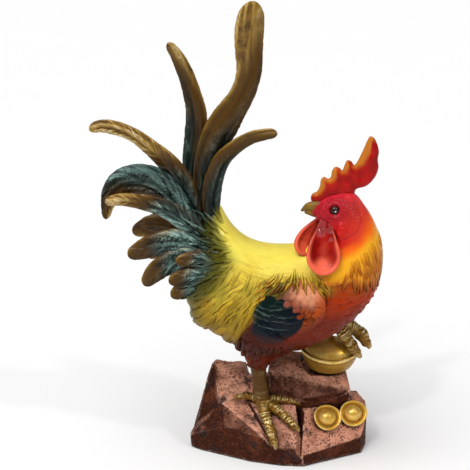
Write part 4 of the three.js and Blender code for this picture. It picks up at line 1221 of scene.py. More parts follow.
def tapered(points, radii, rings, start, drop, squash=1.0):
    """Rings along a smooth line with a rounded far end, the line and its radii"""
    shares = np.linspace(0, 1, rings)
    centre = curve(points, shares)
    ahead = headings(centre)
    radius = along(radii, shares) * np.sqrt(np.clip(1 - ease(shares, start, 1.0) ** 2 * drop, 0.02, 1))
    side = unit(np.cross(ahead, [0, 1, 0]))
    return sleeve(centre, side, np.cross(ahead, side) * squash, radius, 48), centre, radius


def to_tube(points, centre, radius):
    """Distance from points to the skin of a round tube, less than 0 inside"""
    best = np.full(len(points), 1e9)
    for c, r in zip(centre, radius):
        best = np.minimum(best, np.linalg.norm(points - c, axis=1) - r)
    return best


FILLET = 9.0  # how far the thighs run out into the body


def draw_even(values, pairs, share, rounds=1):
    """Values drawn towards the mean of those at the other ends of their edges"""
    degree = np.bincount(pairs.ravel(), minlength=len(values))
    for _ in range(rounds):
        near = [np.bincount(pairs[:, k], column[pairs[:, 1 - k]], len(values)) for column in values.T for k in (0, 1)]
        total = np.reshape(near, (-1, 2, len(values))).sum(1).T
        values = (1 - share) * values + share * total / degree[:, None]
    return values


def fillet(gap):
    """Rise of a surface near the one it runs into"""
    return np.maximum(FILLET - np.abs(gap), 0) ** 2 / (4 * FILLET)


def surface(obj):
    """Search tree over a piece, in millimetres"""
    mesh = obj.data
    points = [tuple(p) for p in places(mesh)]
    return BVHTree.FromPolygons(points, [tuple(p.vertices) for p in mesh.polygons])


def body_places(body):
    """Search tree over the skin's points, with their row and turn"""
    rows, turns = get(body.data, "row"), get(body.data, "turn")
    points = places(body.data)
    tree = KDTree(len(points))
    for i, p in enumerate(points):
        tree.insert(p, i)
    tree.balance()
    return tree, rows, turns


def paint_on_body(obj, body, soft=1.0):
    """Gives the points of a piece that lies on the body the body's paint"""
    tree, rows, turns = body_places(body)
    points = places(obj.data)
    nearest = [tree.find(p)[1] for p in points]
    colour, wash = body_colours(points, rows[nearest], turns[nearest])
    put(obj.data, "paint", colour)
    put(obj.data, "wash", wash)
    put(obj.data, "soft", np.broadcast_to(soft, len(points)))
    return points, colour


OUTSIDE = 120  # from here, clear of the body, places are cast on the flank


def lay(tree, places_xz, side, lifts):
    """Points over the flank at x, z, with the skin's outward direction; None where they miss it"""
    points, up = [], []
    for (x, z), lift in zip(places_xz, lifts):
        hit, out, _, _ = tree.ray_cast(Vector((x, side * OUTSIDE, z)), Vector((0, -side, 0)))
        if hit is None:
            return None
        points.append(np.array(hit) + np.array(out) * lift)
        up.append(np.array(out))
    return np.array(points), np.array(up)


# Operators -------------------------------------------------

class ROOSTER_OT_stage(bpy.types.Operator):
    """Pale floor, soft studio lights and the camera"""

    bl_idname = "rooster.stage"
    bl_label = "Stage"

    def execute(self, context):
        scene = context.scene
        bpy.ops.mesh.primitive_plane_add(size=6, location=(0, 0, -0.0002))
        floor = context.object
        floor.name = "floor"
        tree, finish = new_material("floor paint")
        shade = blend(speckle(spot(tree), 6.0), (0.96, 0.96, 0.96), (0.98, 0.98, 0.98))
        give(floor, finish(shade, Roughness=0.7))

        for name, energy, spread, aim in SUNS:
            sun = bpy.data.lights.new(name, "SUN")
            sun.energy, sun.angle = energy, math.radians(spread)
            show(name, sun).rotation_euler = Vector(aim).to_track_quat("-Z", "Y").to_euler()
        world = bpy.data.worlds.new("studio")
        scene.world = world
        world.use_nodes = True
        sky = world.node_tree.nodes["Background"].inputs
        sky["Color"].default_value, sky["Strength"].default_value = WHITE, 0.24
        scene.view_settings.view_transform = "Standard"
        scene.view_settings.look = "None"

        camera = bpy.data.cameras.new("camera")
        camera.lens, camera.sensor_width = 120, 36
        scene.camera = show("camera", camera)
        tilt = math.radians(CAMERA_TILT)
        x, y, z = CAMERA_TARGET
        scene.camera.location = (x, y - CAMERA_AWAY * math.cos(tilt), z + CAMERA_AWAY * math.sin(tilt))
        scene.camera.rotation_euler = (math.pi / 2 - tilt, 0, 0)
        return {"FINISHED"}


def carve_body(mesh, row, turn):
    """Carves the smooth casting: hackle strands, breast ripples, the bare face and the ear lobes"""
    points, out = places(mesh), normals(mesh)
    around = off_rail(turn)
    x, y, z = points.T
    strand = lumps(columns(turn * 0.9, row * 5.0, 0), 4.2, 7.0, 2)
    over = row - mantle_edge(turn)
    neck = ease(over, -0.05, 0.25) * ease(row, 13.6, 11.6)
    rise = 0.5 * strand * neck * ease(over, 1.5, 0.4)
    edge = 1.1 * ease(over, -0.06 + 0.12 * strand, 0.16 + 0.12 * strand)
    rise += edge * ease(over, 3.0, 0.8) * ease(around, 170, 140)
    # breast and belly: fine waves across the flow
    below = ease(over, 0.0, -0.5) * under_saddle(x, z, row)
    waves = 1.5 * lumps(points * [0.4, 0.5, 1.1], 3.0, 2.0, 2) + 0.6 * lumps(points * [0.5, 0.6, 1.2], 6.5, 2.0, 2)
    rise += waves * np.maximum(below, ease(z, 118, 104))
    # back and saddle: long soft furrows
    saddle = ease(row, 9.4, 8.4) * ease(z - saddle_edge(x), -2, 6)
    rise += 0.28 * lumps(columns(turn * 0.8, row * 4.0, 0), 4.6, 11.0, 2) * saddle
    # head
    rise += 3.2 * hill(np.linalg.norm(points - [56, -7, 231], axis=1), 10.0)
    face_tone_and_glint = np.zeros(len(points))
    for key, sign in (("near", -1), ("far", 1)):
        eye = np.array(EYES[key])
        off = np.linalg.norm((points - eye)[:, [0, 2]], axis=1)
        on_side = ease(sign * (y - eye[1] * 0.35 + 2.0), -2, 4)
        rise += 0.9 * hill(off - 5.6, 1.5) * on_side
        rise -= 1.2 * hill(off, 3.6) * on_side
        patch = np.hypot((x - 44) / 19, (z - 216) / 15.5) + 0.1 * lumps(points, 7.0, 3.0, 2)
        bare = ease(patch, 1.02, 0.93) * on_side
        seam = hill(patch - 1.04, 0.05) * on_side * ease(x, 38, 46)
        grain = cells(points, 1.6, 5.0)
        rise += bare * 0.75 * (0.55 - grain) * ease(off, 5.4, 7) - 0.45 * seam
        # painted highlight: pink glints on the tops of the face's grains, kept as values above 0
        light = ease(grain, 0.35, 0.1) * ease(lumps(points, 4.0, 8.0, 2), 0.0, 0.3)
        face_tone_and_glint += bare * (light - 0.1 - 0.42 * ease(z - 0.4 * x, 186, 202)) - 0.3 * seam
        lobe = np.hypot((x - 47.5) / 4.6, (z - 206) / 8.2)
        rise += 2.0 * clamp(1 - lobe**2) ** 0.6 * ease(sign * y, 2, 6)
    move(mesh, points + out * rise[:, None])
    put(mesh, "grain", columns(turn * 0.62, row * 16.0, 0))
    put(mesh, "face_tone_and_glint", face_tone_and_glint)


class ROOSTER_OT_body(bpy.types.Operator):
    """Body casting with neck, head and thighs"""

    bl_idname = "rooster.body"
    bl_label = "Body"

    def execute(self, context):
        count = 256
        rows = np.concatenate([np.linspace(0, 12.4, 218, endpoint=False), np.linspace(12.4, LAST_ROW, 104)])
        turns = np.arange(count) * 360 / count - 180
        row, turn = np.meshgrid(rows, turns, indexing="ij")
        rings = skin(row, turn)
        # rounded ends
        for end, size, out in ((0, 5.0, -1), (-1, 3.2, 1)):
            middle = rings[end].mean(0)
            tip, inner = (0, 0.4) if end == 0 else (LAST_ROW, LAST_ROW - 0.4)
            ahead = unit(skin(tip, turns).mean(0) - skin(inner, turns).mean(0))
            domes, dome_rows = [], []
            for k in range(1, 8):
                a = math.pi / 2 * k / 8
                domes.append(middle + (rings[end] - middle) * math.cos(a) + ahead * size * math.sin(a))
                dome_rows.append(row[end] + out * 0.02 * k)
            if end == 0:
                rings = np.concatenate([domes[::-1], rings])
                row = np.concatenate([dome_rows[::-1], row])
            else:
                rings = np.concatenate([rings, domes])
                row = np.concatenate([row, dome_rows])
        turn = np.broadcast_to(turns, row.shape)
        points, faces = tube(rings)
        row = np.append(row.ravel(), [row[0, 0], row[-1, 0]])
        turn = np.append(turn.ravel(), [0, 0])
        body = new_piece("body_casting", points, faces, {"row": row, "turn": turn})
        mesh = body.data
        carve_body(mesh, row, turn)

        parts = []
        skin_tree = surface(body)
        lift = np.zeros(len(points))
        for table in (STANDING_THIGH, RAISED_THIGH):
            rings_at, centre, radius = tapered(*table, 40, 0.9, 0.5)
            lift = np.maximum(lift, fillet(to_tube(places(mesh), centre, radius)))
            flat = rings_at.reshape(-1, 3)
            nearest = [(Vector(p), *skin_tree.find_nearest(Vector(p))[:2]) for p in flat]
            gaps = [(p - hit).dot(out) for p, hit, out in nearest]
            outward = unit(flat - np.repeat(centre, rings_at.shape[1], axis=0))
            flat = flat + outward * fillet(np.array(gaps))[:, None]
            flat = flat + outward * (0.35 * lumps(flat, 5.0, 1.0))[:, None]
            parts.append(tube(flat.reshape(rings_at.shape)))
        move(mesh, places(mesh) + normals(mesh) * lift[:, None])
        sleeves, sleeve_faces = join_parts(parts)
        thighs = new_piece("thighs", sleeves, sleeve_faces)
        tree, rows_at, turns_at = body_places(body)
        near = [tree.find(p)[1] for p in places(thighs.data)]
        for name, values in (("row", rows_at[near]), ("turn", turns_at[near]), ("face_tone_and_glint", np.zeros(len(near))),
                             ("grain", places(thighs.data)[:, [0, 2, 1]] * [1, 1, 0])):
            put(thighs.data, name, values)
        fuse(body, thighs)

        points, row, turn, face_tone_and_glint = places(mesh), get(mesh, "row"), get(mesh, "turn"), get(mesh, "face_tone_and_glint")
        colour, wash = body_colours(points, row, turn)
        # pink glints where the value is above 0 are painted highlights; where it is below 0 the face is painted darker
        colour = coats(colour, (ink("face_red", 0.3), clamp(-face_tone_and_glint) * 0.8), ((0.8, 0.16, 0.16), clamp(face_tone_and_glint) * 0.6))
        drop(mesh, ["face_tone_and_glint"])
        put(mesh, "paint", colour)
        put(mesh, "wash", wash)
        over, x, z = row - mantle_edge(turn), points[:, 0], points[:, 2]
        soft = 0.12 + 0.88 * ease(over, 1.2, 0.2) * ease(z + 0.2 * x, 184, 162)
        put(mesh, "soft", soft * (1 - 0.9 * ease(over, 0.2, -0.4) * under_saddle(x, z, row, 3)))
        seat(body, ["body"], feather_paint("body paint"))
        return {"FINISHED"}


def sweep_locks(guides, name, body):
    """Sweeps locks that lie on the body, and gives them its paint"""
    obj = guides.sweep(name, blade_tree(), {"Ring points": 10, "Edge fullness": 0.9, "Rib height": 0.0003,
                                            "Material": needed("body paint", "materials")})
    return obj, obj.data, *paint_on_body(obj, body, 0.5)


def shade_locks(obj, colour, shade):
    put(obj.data, "paint", colour * shade[:, None])
    drop(obj.data, SWEEP_ONLY)
    seat(obj, ["body"])


def finish_locks(guides, name, body, rim):
    """Each lock has the body's paint, a little lighter or darker than the next"""
    obj, mesh, points, colour = sweep_locks(guides, name, body)
    share, edge, gilt = get(mesh, "share"), np.abs(get(mesh, "across")), get(mesh, "gilt")
    shade = (0.74 + 0.46 * gilt) * (1 - rim * edge**3) * (1 - 0.5 * rim * ease(share, 0.3, 0.0))
    if name == "hackle_locks":
        golden = coats(ink("hackle_yellow"), (ink("hackle_tip"), ease(share, 0.1, 0.75)))
        colour = coats(colour, (golden, 0.8))
    elif name == "saddle_locks":
        olive = 0.3 * ease(get(mesh, "seed"), 0.55, 0.8) * ease(points[:, 2], 190, 164)
        colour = coats(colour, (ink("saddle_olive"), olive))
    shade_locks(obj, colour, shade)


def mantle_locks(body, tree, rng):
    """Rings of pointed hackles whose tips lie over breast and back"""
    guides = Guides()
    width = sizes().hackle_width / MM
    shares = np.linspace(0, 1, 10)
    for ring, (back, long) in enumerate(HACKLE_RINGS):
        count = sizes().hackle_count + 2 * ring
        for k in range(count):
            turn = (k + 0.5 * (ring % 2) + rng.uniform(-0.3, 0.3)) * 360 / count - 180
            if abs(turn) > BACK_TURN:
                continue
            side = -1 if turn < 0 else 1
            front = float(ease(abs(turn), 105, 70))
            end = mantle_edge(turn) + back + rng.uniform(-0.16, 0.12)
            rows = end + long * (0.8 + 0.2 * front) * (1 - shares) * rng.uniform(0.8, 1.15)
            bend = turn + side * (9.0 - 20.0 * front) * shares**1.6 + rng.uniform(-3, 3) * shares
            lift = np.interp(shares, [0, 0.3, 0.75, 1], [-1.6, -0.5, 0.5, 0.6]) * sizes().lock_lift / MM
            out = skin_out(rows, bend)
            line = np.array([np.array(tree.find_nearest(Vector(p))[0]) for p in skin(rows, bend)]) + out * lift[:, None]
            if side < 0 and np.any((line[:, 0] > 12) & (line[:, 0] < 46) & (line[:, 2] > 166)):
                continue
            half = width * (0.72 + 0.28 * front) * rng.uniform(0.7, 1.1) * lock_shape(shares)
            guides.add(line, out, half, np.interp(shares, [0, 0.5, 1], [2.0, 2.4, 0.8]), gilt=rng.uniform(0, 1))
    finish_locks(guides, "hackle_locks", body, 0.3)


def saddle_locks(body, tree, rng):
    """Long narrow hackles that flow over flank and rump; the lowest are broad and hang over the edge"""
    guides = Guides()
    for side in (NEAR, FAR):
        seeds = []
        for z in np.arange(102, 222, 5.8):
            for x in np.arange(-78, 40, 5.5):
                x, z_at = x + rng.uniform(-2.3, 2.3), z + rng.uniform(-2.3, 2.3)
                wide, long, sway = rng.uniform(0.5, 1.3), rng.uniform(26, 50), rng.uniform(-1.3, 1.3)
                above = z_at - saddle_edge(x)
                if above > 4 and z_at < np.interp(x, *SADDLE_TOP) and x > np.interp(z_at, *ROOT_EDGE) + 2:
                    low = float(ease(above, 16, 7) * ease(-x, 30, 44))
                    wide *= sizes().saddle_width / MM * (1 + 0.15 * low)
                    long *= 1 - 0.55 * float(ease(x, 8, 24))
                    seeds.append((x, z_at, wide, long * (1 - 0.3 * low), sway * (1 - 0.6 * low), 0.4 * low))
        seeds += [(x, z, wide, long, rng.uniform(-0.5, 0.5), 0.8) for x, z, wide, long in FRINGE]
        lay_locks(guides, tree, side, sorted(seeds, key=lambda seed: seed[1]), SADDLE_FLOW, rng)
    finish_locks(guides, "saddle_locks", body, 0.35)


def thigh_locks(body, tree, rng):
    """Short locks down the thighs, the lowest over the leg"""
    guides = Guides()
    for side, left, right, low, high in THIGH_FIELDS:
        seeds = [(x + rng.uniform(-1.5, 1.5), z + rng.uniform(-1.5, 1.5), rng.uniform(2.4, 3.8), rng.uniform(11, 18),
                  rng.uniform(-1, 1), 0.4) for z in np.arange(low, high, 6.0) for x in np.arange(left, right, 5.8)]
        lay_locks(guides, tree, side, seeds, THIGH_FLOW, rng)
    finish_locks(guides, "thigh_locks", body, 0.16)


def lay_locks(guides, tree, side, seeds, flow, rng):
    """Adds locks on the skin from x, z, half width, length, sway and bluntness"""
    shares = np.linspace(0, 1, 15)
    for x, z, wide, long, sway, low in seeds:
        line = flowing((x, z), np.array(flow, float), long, shares, sway)
        bold = 1 + 0.6 * low
        lift = np.interp(shares, [0, 0.25, 0.7, 1], [-2.2, -0.4, 0.45, 0.5]) * sizes().lock_lift / MM * bold
        laid = hang(tree, line, side, lift, 8 if low > 0.3 else 4)
        if laid is not None:
            thick = np.interp(shares, [0, 0.5, 1], [1.8, 2.3, 0.8]) * bold
            guides.add(*laid, wide * lock_shape(shares, low), thick, gilt=rng.uniform(0, 1))


def hang(tree, line, side, lifts, most):
    """Lays a lock on the skin; the tip may reach a little past the skin's edge"""
    for count in range(len(line), len(line) - most, -1):
        laid = lay(tree, line[:count], side, lifts[:count])
        if laid:
            points, up = laid
            step = points[-1] - points[-2]
            step *= min(1.3 / np.linalg.norm(step), 1)
            extra = [points[-1] + step * (k + 1) for k in range(len(line) - count)]
            if extra:
                points, up = np.vstack([points, extra]), np.vstack([up, np.repeat(up[-1:], len(extra), axis=0)])
            return points, up
    return None


class ROOSTER_OT_plumage(bpy.types.Operator):
    """Locks of the neck mantle, the saddle and the thighs"""

    bl_idname = "rooster.plumage"
    bl_label = "Plumage"

    def execute(self, context):
        body = needed("body_casting")
        tree = surface(body)
        rng = np.random.default_rng(5)
        mantle_locks(body, tree, rng)
        saddle_locks(body, tree, rng)
        thigh_locks(body, tree, rng)
        return {"FINISHED"}


def flowing(start, flow, long, shares, sway):
    """Line over the flank that follows a table of runs and sways a little to both sides"""
    runs = unit(flow[:, 2:])
    at = np.array(start, float)
    line = [at]
    for share in shares[1:]:
        weight = 1 / (np.linalg.norm(flow[:, :2] - at, axis=1) ** 2 + 6)
        step = unit((runs * weight[:, None]).sum(0))
        step = unit(step + np.array([-step[1], step[0]]) * 0.45 * sway * math.cos(share * 2 * math.pi))
        at = at + step * long / (len(shares) - 1)
        line.append(at)
    return line


def twisted(ahead, twist, t):
    """Directions across a ribbon and out of its face, from its headings and its twist in degrees"""
    across = unit(np.cross(ahead, [0, 1, 0]))
    turn = np.radians(along(twist, t))[:, None]
    across = across * np.cos(turn) + np.cross(ahead, across) * np.sin(turn)
    return across, np.cross(ahead, across)


def lock_shape(shares, blunt=0.0):
    """Half width of a lock along its length, as a share of its widest; blunt locks have a round tip"""
    sharp = np.interp(shares, [0, 0.25, 0.55, 0.85, 1], [0.4, 1, 0.9, 0.45, 0.05])
    return sharp * (1 - blunt) + np.interp(shares, [0, 0.3, 0.8, 0.93, 1], [0.5, 0.9, 1, 0.75, 0.15]) * blunt


def tail_feather(name, spec, side, material, stations, ring):
    """Sickle or covert with a round tip; vane widens it on its inner side only"""
    path = np.array(spec["path"], float)
    long = np.linalg.norm(np.diff(curve(path, np.linspace(0, 1, 60)), axis=0), axis=1).sum()
    blunt = spec["width"][-1] / 2 * spec.get("blunt", 1.5) / long
    t = np.concatenate([np.linspace(0, 1 - blunt, stations, endpoint=False),
                        1 - blunt * (1 - np.sin(np.linspace(0, math.pi / 2, 16)))])
    line = curve(path, t)
    ahead = headings(curve(path, np.linspace(0, 1, 120)))
    across, up = twisted(unit(along(ahead, t)), spec["twist"], t)
    past = clamp((t - (1 - blunt)) / blunt)
    rounded = np.sqrt(np.clip(1 - past**2, 0.0009, 1))
    vane = along(spec.get("vane", [0, 0]), t)
    half = (along(spec["width"], t) / 2 * spec.get("broad", 1.08) + vane) * rounded
    line = line + across * (vane * rounded)[:, None]
    base = sizes().blade_thick / MM
    thick = along(spec.get("thick", [base, base, 3.6, 2.8]), t) * (0.3 + 0.7 * rounded)
    if side == FAR:
        line, up = line * [1, -1, 1], up * [1, -1, 1]
    guides = Guides()
    guides.add(line, up, half, thick, along([0.1, 0.2, 0.22, 0.14], t), along(spec["gilt"], t))
    folded = name in FOLDED
    obj = guides.sweep(name + "_plume", blade_tree(), {
        "Ring points": ring, "Rib height": 0.0007, "Barb spacing": sizes().barb_spacing,
        "Relief": sizes().barb_depth * (1.25 if folded else 1), "Barb lean": 2.0, "Edge notch": 0.03,
        "Edge fullness": 0.6, "Barbs": 0.15 if folded else 0.7, "Fold width": 0.0045 if folded else 0.003,
        "Seed": float(len(name)) + float(path[0][2]) * 0.13, "Material": material,
    })
    mesh = obj.data
    edge = get(mesh, "across") * (side if side == FAR else 1)
    put(mesh, "gilt", get(mesh, "gilt") + spec["lean"] * edge + 0.2 * np.abs(edge) ** 4)
    for groove in spec.get("grooves", ()):
        dark = hill(edge - groove, 0.09) * ease(get(mesh, "share"), 0.3, 0.45)
        put(mesh, "barb", get(mesh, "barb") * (1 - dark) - dark)
        move(mesh, places(mesh) - normals(mesh) * (0.9 * dark)[:, None])
    put(mesh, "silver_and_sheen", along(spec.get("silver_and_sheen", [0.25, 0.1]), get(mesh, "share")))
    put(mesh, "streaky", np.full(len(edge), 0.4 if folded else 1.0))
    drop(mesh, SWEEP_ONLY)
    seat(obj, [name])


class ROOSTER_OT_tail(bpy.types.Operator):
    """Sickles and coverts of the tail"""

    bl_idname = "rooster.tail"
    bl_label = "Tail feathers"

    def execute(self, context):
        material = blade_paint("tail paint")
        for name, spec in SICKLES.items():
            tail_feather(name, spec, NEAR, material, stations=210, ring=60)
        for name, spec in COVERTS.items():
            full = dict(thick=[4.4, 4.2, 3.4, 2.8], gilt=COVERT_GILT, lean=0.2, broad=1.3, blunt=1.3,
                        silver_and_sheen=COVERT_SILVER_AND_SHEEN) | spec
            for side, label in ((NEAR, "near"), (FAR, "far")):
                if side == NEAR or name not in NEAR_ONLY:
                    tail_feather(f"{name}_{label}", full, side, material, stations=90, ring=44)
        return {"FINISHED"}


def lay_strands(name, pieces, body, seeds, flow, rng, wide):
    """Lays strands over pieces from x, z and length, in the body's paint and the tail's where they reach it"""
    points, faces = join_parts([(places(o.data), [tuple(p.vertices) for p in o.data.polygons]) for o in pieces])
    tree = BVHTree.FromPolygons([tuple(p) for p in points], faces)
    guides = Guides()
    shares = np.linspace(0, 1, 18)
    for side in (NEAR, FAR):
        for x, z, long in seeds:
            line = flowing((x, z), np.array(flow, float), long, shares, rng.uniform(-1, 1))
            half = wide * rng.uniform(0.7, 1.3) * lock_shape(shares)
            tint = rng.uniform(0, 1)
            laid = lay(tree, line, side, np.interp(shares, [0, 0.25, 0.8, 1], [-1.4, 0.2, 0.7, 0.3]))
            if laid is None:
                continue
            points, up = laid
            outer = np.abs(points[:, 1])
            for _ in range(2):
                outer = np.maximum(outer, np.convolve(np.pad(outer, 2, "edge"), np.ones(5) / 5, "valid"))
            if np.ptp(outer) > 16:
                continue
            points[:, 1] = side * outer
            up = unit(up + 2 * up.mean(0))
            guides.add(points, up, half, np.interp(shares, [0, 0.5, 1], [1.8, 2.2, 0.8]), gilt=tint)
    obj, mesh, points, colour = sweep_locks(guides, name, body)
    past = np.interp(points[:, 2], *ROOT_EDGE) - points[:, 0]
    tint = get(mesh, "gilt")
    # silvery paint on some strands, partly a painted highlight
    cold = coats(ink("tail_teal"), (ink("tail_silver_and_sheen"), 0.6 * tint**2))
    colour = coats(
        colour,
        (ink("saddle_olive"), ease(past, -16, -2) * (1 - 0.6 * tint)),
        (cold, ease(past, -4, 12)),
    )
    brown = ease(points[:, 2], 172, 164) * ease(past, -14, -24)
    earthy = coats(ink("breast_brown", (0.7, 0.9, 1)), (ink("saddle_ochre", (1.05, 0.8, 0.8)), ease(tint, 0.15, 0.55)))
    colour = coats(colour, (earthy, brown * 0.85))
    shade = (0.8 + 0.4 * tint) * (1 - 0.5 * np.abs(get(mesh, "across")) ** 3)
    shade_locks(obj, colour, shade)


class ROOSTER_OT_strands(bpy.types.Operator):
    """Thin strands from the rump over the roots of the tail feathers, and short ones over the wings' upper edges"""

    bl_idname = "rooster.strands"
    bl_label = "Strands"

    def execute(self, context):
        body = needed("body_casting")
        rng = np.random.default_rng(21)
        roots = [
            (np.interp(z, *ROOT_EDGE) + start + rng.uniform(-2.5, 2.5), z + rng.uniform(-1, 1), rng.uniform(17, 30))
            for z in np.arange(148, 212, 3.5) for start in (15, 9, 3)
        ]
        plumes = [obj for obj in context.scene.objects if obj.name.endswith("_plume")]
        lay_strands("tail_root_strands", [body] + plumes, body, roots, ROOT_FLOW, rng, 1.75)
        edge = smooth_outline(WING_EDGE, 240)
        spots = np.stack(np.meshgrid(np.arange(-36, 36, 3.5), np.arange(124, 178, 3.5)), -1).reshape(-1, 2)
        spots = spots + rng.uniform(-1.3, 1.3, spots.shape)
        gap = outline_gap(spots, edge)
        near_top = (gap > -8) & (gap < 1) & (spots[:, 1] - 0.62 * spots[:, 0] > 140) & (spots[:, 0] > -18)
        wing_tops = [(x, z, rng.uniform(8, 14)) for x, z in sorted(spots[near_top].tolist(), key=lambda at: at[1])]
        wings = [needed("wing_near_feathers"), needed("wing_far_feathers")]
        lay_strands("wing_top_strands", [body] + wings, body, wing_tops, WING_TOP_FLOW, rng, 0.95)
        return {"FINISHED"}


def wing_base(tree, side):
    """Wing without its small coverts, draped over the flank; the values are the paint"""
    flat, faces, gap, count = filled(WING_EDGE, 0.55, 260)
    x, z = flat.T
    skin_at, up = lay(tree, flat, side, np.zeros(len(flat)))
    up = unit(up + up.mean(0))
    pairs = np.array(sorted({tuple(sorted(pair)) for face in faces for pair in zip(face, face[1:] + face[:1])}))
    over = skin_at.copy()
    for _ in range(160):
        over[:, 1] = side * np.maximum(side * skin_at[:, 1], side * draw_even(over[:, 1:2], pairs, 0.9)[:, 0])
    blue_gap = outline_gap(flat, smooth_outline(WING_BLUE, 160)) + 0.8 * lumps(columns(x, z, 0), 7.0, 4.0, 2)
    low, high = np.interp(z, [122, 134], [-1.5, -3]), np.interp(z, [114, 132], [4.5, -1])
    blue = ease(blue_gap, -0.8, 1) * ease(blue_gap, low, high)
    # each quill is highest at its lower edge, where a thin bead stands; the bead is painted as a highlight and the
    # strip just under it dark as a painted shadow
    lines = np.array([np.interp(x, *np.transpose(line)) for line in QUILL_EDGES])
    lines = np.vstack([np.full_like(x, 160.0), lines, np.full_like(x, 112.0)])
    band = np.clip((lines[1:-1] > z).sum(0), 0, len(QUILL_EDGES))
    top, bottom = lines[band, np.arange(len(x))], lines[band + 1, np.arange(len(x))]
    down = clamp((top - z) / (top - bottom))
    bead = hill(z - bottom - 0.5, 0.45) * (band < len(QUILL_EDGES)) * ease(x, 12, -4) * ease(x, -29, -25)
    round_edge = np.sqrt(1 - (1 - clamp(gap / 5.5)) ** 2)
    rise = 2.8 * (round_edge + (ease(gap, -1, 13) - round_edge) * ease(z, 142, 126))
    proud = np.array([1, 1, 0.9, 0.6, 0.0])[band]
    rise += blue * (0.9 * proud * down**1.6 + 0.3 * bead * proud - 0.6)
    shares = np.linspace(0, 1, 90)
    ridge = curve([(a, 0, b) for a, b in WING_RIDGE], shares)[:, [0, 2]]
    apart = np.linalg.norm(flat[:, None] - ridge[None], axis=2)
    at = shares[np.argmin(apart, axis=1)]
    wide = np.interp(at, [0, 0.25, 0.5, 0.75, 1], [4.0, 5.5, 5.0, 3.4, 2.2])
    roll = np.sqrt(clamp(1 - (apart.min(1) / wide) ** 2))
    rise += roll * np.interp(at, [0, 0.2, 0.6, 0.85, 1], [0.3, 1.2, 1.5, 0.5, 0])
    front = over + up * (rise - 0.3 * (gap == 0))[:, None]
    points, skins = two_skins(front, skin_at - 1.4 * up, faces, count)

    shoulder = np.exp(-(((x - 20) / 10) ** 2 + ((z - 158) / 8) ** 2))
    colour = coats(
        ink("wing_orange"),
        (ink("wing_salmon"), clamp(1.2 * shoulder)),
        (ink("wing_salmon", 0.5), 0.3 * roll * ease(at, 0.4, 0.6) * ease(at, 0.85, 0.7)),
        (ink("breast_brown"), ease(z - 0.35 * x, 134, 118)),
        (ink("belly_brown"), ease(z + 0.3 * x, 122, 112)),
        (ink("saddle_olive"), ease(z - 0.9 * x, 152, 164)),
    )
    quills = coats(
        ink("wing_blue"),
        (ink("saddle_olive", 0.5), ease(z - 0.5 * x, 142, 160)),
        (ink("tail_teal"), ease(z - 0.3 * x, 138, 148)),
        (ink("belly_brown"), ease(z + 0.15 * x + 2 * lumps(flat[:, [0, 1, 1]], 6.0, 4.0, 2), 124, 115) * 0.8),
        # painted highlight: silvery paint on each quill's bead
        (ink("tail_silver_and_sheen", 0.7), 0.36 * bead),
    )
    # painted shadow: a dark strip just under the bead of the quill above
    quills = quills * (1 - 0.75 * ease(down, 0.22, 0.0) * (band > 0) * (band < 4))[:, None]
    colour = coats(colour, (quills, blue))
    sunk = ease(gap, 5, 0) * ease(z, 144, 130)
    both = np.concatenate([np.arange(len(x)), np.arange(count, len(x))])
    values = {"paint": colour, "soft": 0.1 + 0.3 * blue, "grain": columns(z, x, 0), "sunk": sunk}
    return points, skins, {name: value[both] for name, value in values.items()}


